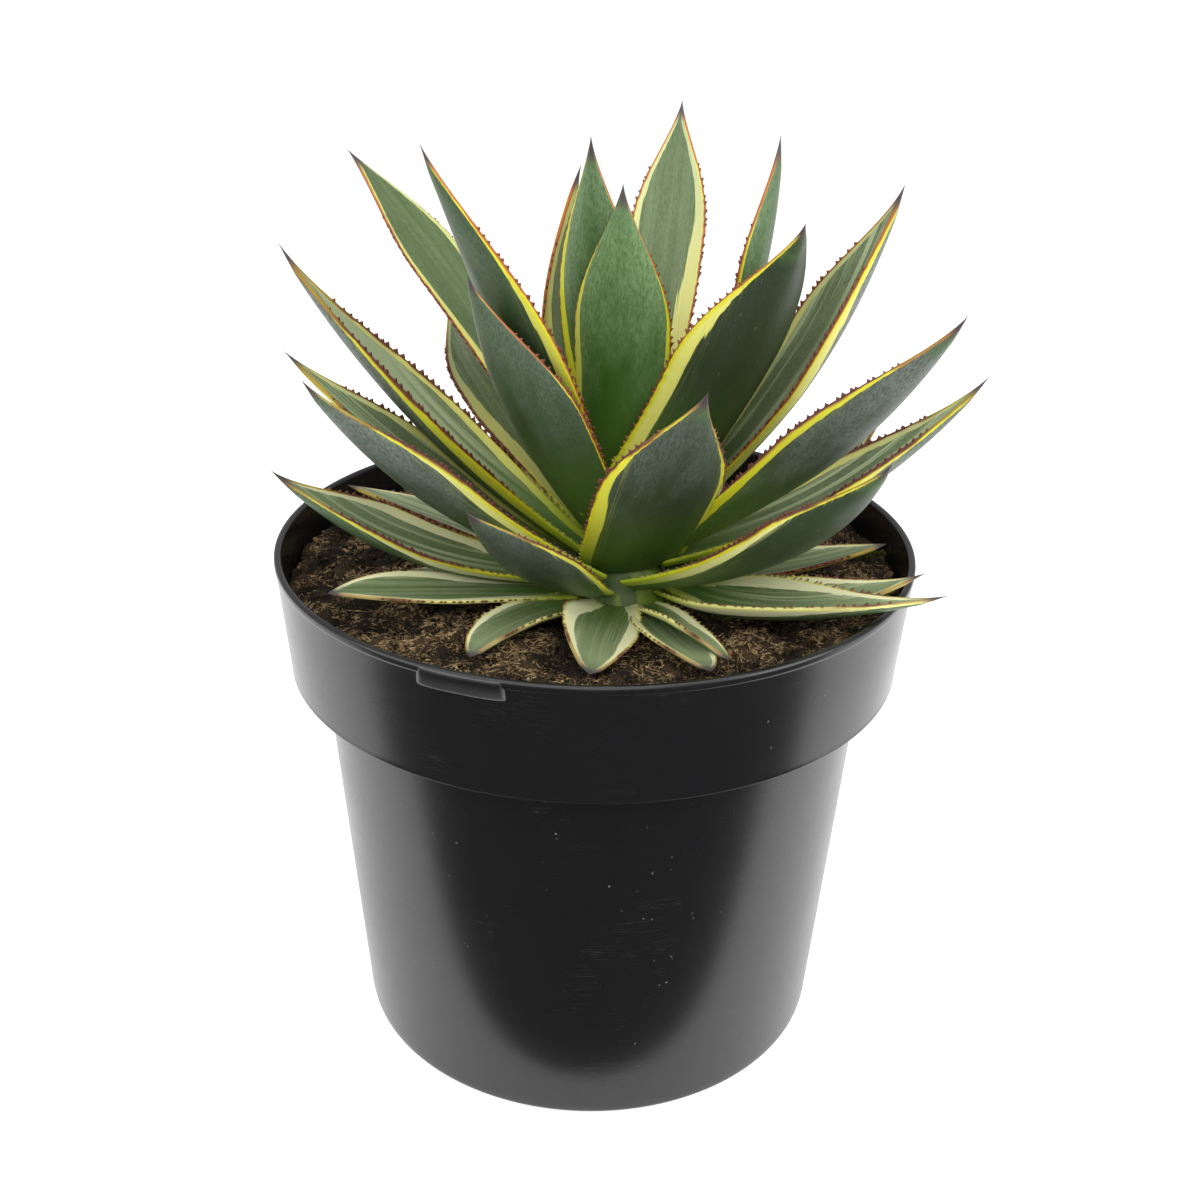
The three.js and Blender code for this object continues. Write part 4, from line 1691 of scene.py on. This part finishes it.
    def skin(self) -> Shell:
        """The blade's closed skin, with a pole at the base and one at the tip, and its attributes.

        Lanes crowd towards the margins: v = sign(s) (1 - (1 - |s|)^1.8) for even steps s.

        Returns:
            A closed shell.
        """
        stations = max(self.least_stations, int(self.reach / self.station_step))
        t = np.concatenate([np.linspace(0.0, 0.992, stations), [0.998]])
        step = np.linspace(-1.0, 1.0, 2 * self.lanes + 1)
        row = np.sign(step) * (1.0 - (1.0 - np.abs(step)) ** 1.8)
        lane = np.concatenate([row, row[-2:0:-1]])
        face = np.concatenate([np.ones(len(row)), -np.ones(len(row) - 2)])
        points = self.surface(t, lane, face, self.bulges(t, lane))
        half = self.sections(t)["half"][:, None]
        edge = half * (1.0 - np.abs(lane))[None, :]
        grain = [
            half * lane[None, :] * MM + face[None, :] * FACE_SHIFT,
            np.broadcast_to((t * self.reach * MM)[:, None], edge.shape),
            np.full(edge.shape, self.number * LEAF_SHIFT),
        ]
        on_margin = np.abs(lane) > 0.9999
        horn = smoothstep(1.0 - 0.95 * self.spine_share, 1.0 - 0.45 * self.spine_share, t)
        values = self.values(
            edge.shape,
            lane[None, :],
            grain=np.stack(grain, axis=-1),
            edge=edge,
            band=self.band_at(t, lane, face),
            along=t[:, None],
            upper=np.where(on_margin, 0.5, np.where(face > 0.0, 1.0, 0.0))[None, :],
            horn=horn[:, None],
        )
        body = points.reshape(-1, 3)
        poles = self.sections(np.array([0.0, 1.0]))["centre"]
        flat = {}
        for name, value in values.items():
            rows = value.reshape(len(body), -1)
            rows = np.concatenate([rows, rows[:1], rows[-1:]])
            flat[name] = rows if name in VECTORS else rows[:, 0]
        faces = tube_faces(len(t), len(lane))
        return Shell(np.concatenate([body, poles]), faces, flat).outward()

    def teeth(self, side: float) -> Shell:
        """Hooked teeth along one margin.

        Ring j stands TOOTH_RISE of the height out of the margin and TOOTH_HOOK of it towards the
        tip; its half length along the margin is TOOTH_LONG of the height, and its half thickness
        TOOTH_THICK millimetres. Teeth are low near the base and highest in the middle.

        Args:
            side: 1 or -1, the margin.

        Returns:
            One shell of small closed teeth.
        """
        t = self.tooth_places(side)
        s = self.sections(t)
        arc, along = s["bend"] * side, s["along"]
        sine, cosine = np.sin(arc), np.cos(arc)
        out = unit(s["across"] * (cosine * side)[:, None] + s["up"] * (sine * side)[:, None])
        margin = (
            s["centre"]
            + s["across"] * (s["half"] * sine / s["bend"])[:, None]
            + s["up"] * (s["half"] * (1.0 - cosine) / s["bend"])[:, None]
        )
        normal = np.cross(out, along)
        height = 0.55 + 0.65 * np.sin(math.pi * np.clip(t, 0.0, 0.9) / 0.9) ** 0.7
        height = (height * self.rng.uniform(0.7, 1.15, len(t)))[:, None]
        angle = circle(self.tooth_sides)
        onward = self.TOOTH_HOOK[:, None] + self.TOOTH_LONG[:, None] * np.cos(angle)
        sideways = self.TOOTH_THICK[:, None] * np.sin(angle)
        ring = (
            out[:, None, None, :] * (self.TOOTH_RISE[None, :, None] * height[:, None])[..., None]
            + along[:, None, None, :] * (onward[None] * height[:, None])[..., None]
            + normal[:, None, None, :] * sideways[None, :, :, None]
        )
        points = margin[:, None, None, :] + ring
        count, rings = len(t), len(self.TOOTH_RISE) - 1
        body = points[:, :rings].reshape(count, -1, 3)
        feet = (margin - out * 0.5)[:, None, :]
        every = np.concatenate([body, feet, points[:, rings, :1]], axis=1)
        per = every.shape[1]
        horn = np.repeat(self.TOOTH_HORN, self.tooth_sides)
        horn = np.concatenate([horn, [self.TOOTH_HORN[0], self.TOOTH_HORN[-1]]])
        total = count * per
        grain = [
            np.full(total, side * self.width / 2.0 * MM),
            np.repeat(t * self.reach * MM, per),
            np.full(total, self.number * LEAF_SHIFT),
        ]
        values = self.values(
            (total,),
            side,
            grain=np.stack(grain, axis=-1),
            edge=0.0,
            band=self.TOOTH_BAND,
            along=np.repeat(t, per),
            upper=0.5,
            horn=np.tile(horn, count),
        )
        faces = repeated(tube_faces(rings, self.tooth_sides), count, per)
        return Shell(every.reshape(-1, 3), faces, values).outward()

    def build(self, finish: LeafFinish) -> None:
        """Makes the leaf's piece, which stands for its CAD node."""
        name = f"leaf_{self.number:02d}"
        shell = joined([self.skin(), self.teeth(-1.0), self.teeth(1.0)])
        build(f"agave_{name}", shell, finish, Slot.LEAF, (name,))


# One row a leaf, from the heart outwards: age, azimuth, rise, reach, width, sag, sway, roll,
# channel, widest, base, spine; the width of the pale band on the margin at lane -1 and at lane 1,
# and its share of that on the back; and how fresh its green is, how much grey bloom it has, how
# streaked its upper face is and how golden its bands are, from 0 to 1 or a little over.
LEAF_ROWS: tuple[tuple[float, ...], ...] = (
    (0.03, 234, 82, 124, 29, -2, -4, 11, 29, 0.56, 0.6, 10, 4.4, 2.6, 0.75, 0.8, 1, 0.1, 0.9),
    (0.05, 77, 58.5, 142.5, 26, -1, -2, 2, 31, 0.67, 0.4, 10, 4.8, 3, 0.75, 0.9, 0.6, 0.1, 0.3),
    (0.08, 141.5, 82.5, 113, 26, 13, 3, 0, 34, 0.53, 0.6, 10, 4, 8, 0.8, 0.7, 0.8, 0.1, 0.95),
    (0.14, 263, 82, 115.5, 31.5, 2, -1, -10, 34, 0.6, 0.7, 9, 3.4, 2.6, 0.75, 1, 1, 0.1, 0.7),
    (0.14, 214, 63.3, 142, 35, 3, 4, 4, 32, 0.5, 0.6, 9, 3.6, 4.2, 0.75, 0.25, 0.27, 0.1, 0.6),
    (0.15, 309.7, 59.7, 128.6, 48, -3, 14.5, -5, 55, 0.51, 1, 8, 5.6, 1.5, 0.75, 0, 0.08, 0.1, 0.4),
    (0.18, 354, 74, 132, 30, 10, 3.5, -10, 36, 0.7, 0.5, 10, 3.2, 2.4, 0.75, 0.7, 0.75, 0.1, 0.6),
    (0.26, 228, 59, 114, 40, 4, -3, -2, 52, 0.51, 0.66, 8, 3.6, 0.7, 0.75, 0.2, 0.45, 0.15, 0.9),
    (0.3, 145, 46.5, 155, 30, 1, -9, 5, 8, 0.69, 0.36, 10, 3.4, 2.4, 0.9, 1, 0.6, 0.1, 0.8),
    (0.3, 353, 59, 137.5, 35, 11, 7, 16, 57, 0.6, 0.5, 10, 13, 2.6, 0.45, 0, 0.9, 1.2, 0.35),
    (0.35, 100, 58, 106, 27, 5, 0, 0, 35, 0.5, 0.62, 9, 3.2, 3, 0.75, 0.4, 0.7, 0.3, 0.5),
    (0.5, 288, 53.7, 95.5, 40, 5, -3, -3, 30, 0.5, 0.9, 8, 4.2, 2.8, 0.75, 0, 0.4, 0.2, 0.8),
    (0.45, 327, 45, 136, 34, 8, 6, -22, 57, 0.52, 0.66, 10, 3.2, 3.4, 0.75, 0, 0.8, 0.5, 0.95),
    (0.5, 185, 48, 138, 33, 10, -7, -7, 70, 0.4, 0.52, 11, 2.2, 3.2, 0.9, 0, 0.9, 0.8, 0.85),
    (0.5, 127.5, 33.5, 113, 33, -2, 1, -30, 46, 0.66, 0.3, 10, 3.6, 4.2, 0.75, 0.4, 0.7, 0.15, 0.1),
    (0.5, 40, 42, 107, 25, 4, 3, 1, 36, 0.5, 0.6, 10, 4.2, 3, 0.75, 0.3, 0.8, 0.5, 0.4),
    (0.55, 84, 38, 116, 27, 7, 0, 0, 38, 0.5, 0.62, 9, 3, 3.4, 0.75, 0.3, 0.7, 0.5, 0.4),
    (0.58, 61, 30, 110, 26, 8, 0, 0, 38, 0.5, 0.62, 9, 3.2, 3, 0.75, 0.3, 0.7, 0.5, 0.4),
    (0.62, 187, 39, 117, 25, 5, 0, -14, 42, 0.53, 0.6, 9, 3.2, 3.4, 0.9, 0.2, 0.7, 0.7, 0.6),
    (0.6, 358, 34, 119, 32, 12, 2, 2, 66, 0.45, 0.7, 10, 7.5, 2.8, 0.45, 0.1, 0.9, 1.2, 0.5),
    (0.62, 118, 27, 106, 26, 8, 0, 0, 38, 0.5, 0.62, 9, 3, 3.2, 0.75, 0.3, 0.6, 0.5, 0.3),
    (0.65, 25, 30, 103, 26, 13, -2, 6, 33, 0.48, 0.6, 9, 4, 2.8, 0.75, 0.3, 0.8, 0.8, 0.3),
    (0.74, 310.6, 37, 114, 35, 10, 5, -7, 52, 0.58, 0.95, 8, 3.4, 3.4, 0.75, 0.1, 0.07, 0.5, 0.35),
    (0.72, 209, 41.4, 119, 34, 8, -4, 15, 58, 0.53, 1, 9, 4, 2.4, 1, 0, 0.85, 0.6, 0.6),
    (0.85, 230, 39, 70, 32, 6, 5, 15, 38, 0.45, 0.6, 6, 3.4, 1.6, 0.75, 0, 0.4, 0.5, 0.2),
    (0.8, 88, 17, 96, 24, 7, 0, 0, 38, 0.5, 0.62, 8, 3, 3.2, 0.75, 0.3, 0.6, 0.5, 0.3),
    (0.85, 189, 24, 103, 30, 11, 0, -7, 68, 0.58, 0.6, 10, 2.8, 3.2, 0.75, 0.5, 0.5, 0.8, 0.35),
    (0.85, 158, 10, 88, 20, 1, -1, 5, 34, 0.5, 0.6, 6, 1.8, 2.4, 0.75, 0.4, 0.6, 0.8, 0.2),
    (0.85, 38, 10, 84, 20, 5, 0, 0, 36, 0.48, 0.62, 6, 2.8, 2.6, 0.75, 0.4, 0.6, 0.5, 0.2),
    (0.85, 3, 9, 71, 21, 4, 1, 2, 39, 0.4, 0.6, 5, 2.2, 2.8, 0.75, 0.7, 0.6, 0.6, 0.3),
    (0.88, 112, 9, 84, 22, 5, 0, 0, 36, 0.48, 0.62, 6, 2.8, 3, 0.75, 0.4, 0.6, 0.5, 0.2),
    (0.88, 66, 8, 84, 21, 5, 0, 0, 36, 0.48, 0.62, 6, 2.8, 2.6, 0.75, 0.4, 0.6, 0.5, 0.2),
    (0.9, 344, 11.5, 82, 22, 4, -12, 16, 41, 0.48, 0.6, 8, 2.6, 2.8, 0.75, 0.6, 0.6, 0.6, 0.15),
    (0.95, 333, 12.5, 92, 30, 2, -12, 1, 66, 0.34, 0.54, 8, 5.4, 2.8, 0.6, 0.6, 0.6, 0.8, 0.15),
    (0.95, 212, 13, 86.5, 22, 3, -8, -5, 22, 0.56, 0.58, 5, 3.4, 2.2, 0.75, 0.9, 0.06, 0.3, 0.25),
    (0.95, 182, 3, 54, 13, -1, 0, 8, 36, 0.4, 0.6, 4, 2, 1.6, 0.75, 0.6, 0.5, 0.4, 0.2),
    (1, 262.3, 5, 54, 26, -1, -2, -18, 39, 0.4, 0.68, 3, 4.4, 3.8, 0.75, 0.85, 0.5, 0.25, 0),
    (1, 289, 6.5, 58, 21, 0, -1, -9, 28, 0.48, 0.3, 3, 1.8, 3.2, 0.75, 1, 0.5, 0.4, 0.05),
    (1, 295, 7, 54, 15, -2, -2, -24, 38, 0.36, 0.6, 3, 1.8, 2, 0.75, 1, 0.5, 0.4, 0.1),
    (1, 235, 5, 59, 22, 0, -5, 8, 41, 0.37, 0.6, 3, 2, 2.2, 0.75, 1, 0.5, 0.3, 0.7),
)


@dataclass
class Rosette:
    """All the leaves, from the heart outwards."""

    rows: tuple[tuple[float, ...], ...] = LEAF_ROWS

    def build(self) -> None:
        """Makes every leaf."""
        finish = LeafFinish()
        for number, row in enumerate(self.rows, start=1):
            Blade(number, *row).build(finish)


# ------------------------------------------------------------------------------ the studio


@dataclass(frozen=True)
class Softbox:
    """One rectangular soft light: where it hangs and what it points at, its size and its watts."""

    name: str
    place: Colour
    target: Colour
    size: tuple[float, float]
    power: float

    def build(self) -> None:
        """Makes the light."""
        data = bpy.data.lights.new(self.name, "AREA")
        data.shape = "RECTANGLE"
        data.size, data.size_y = self.size
        data.energy = self.power
        made = bpy.data.objects.new(self.name, data)
        made.location = self.place
        made.rotation_mode = "QUATERNION"
        aim = Vector(self.target) - Vector(self.place)
        made.rotation_quaternion = aim.to_track_quat("-Z", "Y")
        bpy.context.scene.collection.objects.link(made)
        LOG.info("%s: %.0f W", self.name, self.power)


@dataclass
class Studio:
    """Plain pale floor, wide soft lights and the camera, in metres."""

    floor_radius: float = 9.0
    floor_sides: int = 96
    floor_glow: float = 0.55
    world_glow: float = 0.55
    card_near: float = -0.096
    card_far: float = -2.5
    card_side: float = 2.5
    card_lift: float = 0.002
    camera_place: tuple[float, float, float] = (0.001914, -0.468312, 0.375050)
    camera_target: tuple[float, float, float] = (0.001914, 0.0, 0.151704)
    camera_roll: float = 1.0147
    lens: float = 45.913
    sensor: float = 36.0
    softboxes: tuple[Softbox, ...] = (
        Softbox("left_softbox", (-0.95, -0.45, 0.55), (0.0, 0.0, 0.12), (0.7, 1.1), 6.0),
        Softbox("right_softbox", (0.95, -0.45, 0.55), (0.0, 0.0, 0.12), (0.7, 1.1), 10.0),
        Softbox("top_softbox", (0.0, -0.1, 1.5), (0.0, 0.0, 0.15), (1.4, 1.2), 11.0),
        Softbox("front_softbox", (-0.15, -1.15, 0.95), (0.0, 0.0, 0.18), (1.5, 0.7), 9.0),
    )

    def camera(self) -> None:
        """Makes the camera, turned about its own axis by the roll."""
        data = bpy.data.cameras.new("camera")
        data.lens = self.lens
        data.sensor_width = self.sensor
        data.clip_start, data.clip_end = 0.01, 50.0
        made = bpy.data.objects.new("camera", data)
        bpy.context.scene.collection.objects.link(made)
        place, target = Vector(self.camera_place), Vector(self.camera_target)
        roll = Quaternion((0.0, 0.0, 1.0), math.radians(self.camera_roll))
        made.rotation_mode = "QUATERNION"
        made.rotation_quaternion = (target - place).to_track_quat("-Z", "Y") @ roll
        made.location = place
        bpy.context.scene.camera = made
        LOG.info("camera: %.1f mm lens", self.lens)

    def flat(self, name: str, corners: list[list[float]], nodes: Nodes) -> bpy.types.Object:
        """Makes one flat piece of the stage, which isn't part of the plant.

        Args:
            name: Name of the piece.
            corners: Its corners in metres, counter-clockwise from above.
            nodes: Writer of its material.

        Returns:
            The new object.
        """
        mesh = bpy.data.meshes.new(name)
        mesh.from_pydata(corners, [], [list(range(len(corners)))])
        mesh.materials.append(nodes.material)
        made = bpy.data.objects.new(name, mesh)
        bpy.context.scene.collection.objects.link(made)
        LOG.info("%s: stage", name)
        return made

    def floor(self) -> None:
        """Makes the floor: a wide white disc that glows a little."""
        angle = circle(self.floor_sides)
        ring = np.stack([np.cos(angle), np.sin(angle), np.zeros(self.floor_sides)], axis=1)
        nodes = Nodes("white_floor")
        nodes.set(Base_Color=(0.86, 0.86, 0.86), Roughness=0.9, Specular_IOR_Level=0.1)
        nodes.set(Emission_Color=(1.0, 1.0, 1.0), Emission_Strength=self.floor_glow)
        self.flat("floor", (ring * self.floor_radius).tolist(), nodes)

    def dark_card(self) -> None:
        """Lays a black card on the floor in front of the pot, seen in its gloss alone."""
        near, far, side, lift = self.card_near, self.card_far, self.card_side, self.card_lift
        corners = [[-side, far, lift], [side, far, lift], [side, near, lift], [-side, near, lift]]
        nodes = Nodes("black_card")
        nodes.set(Base_Color=(0.01, 0.01, 0.01), Roughness=1.0, Specular_IOR_Level=0.0)
        made = self.flat("dark_card", corners, nodes)
        for kind in ("camera", "diffuse", "shadow", "transmission"):
            setattr(made, f"visible_{kind}", False)

    def surroundings(self) -> None:
        """Makes the pale surroundings, and shows colours as they are."""
        world = bpy.data.worlds.new("studio")
        world.use_nodes = True
        back = world.node_tree.nodes["Background"]
        back.inputs["Color"].default_value = (1.0, 1.0, 1.0, 1.0)
        back.inputs["Strength"].default_value = self.world_glow
        bpy.context.scene.world = world
        bpy.context.scene.view_settings.view_transform = "Standard"

    def build(self) -> None:
        """Makes the camera, the lights, the surroundings, the floor and the card."""
        self.camera()
        for softbox in self.softboxes:
            softbox.build()
        self.surroundings()
        self.floor()
        self.dark_card()


def main() -> None:
    """Builds the studio, then the pot, the soil and the plant."""
    logging.basicConfig(level=logging.INFO, format="%(message)s")
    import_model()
    Studio().build()
    Pot().build()
    Soil().build()
    Crown().build()
    Rosette().build()


if __name__ == "__main__":
    main()
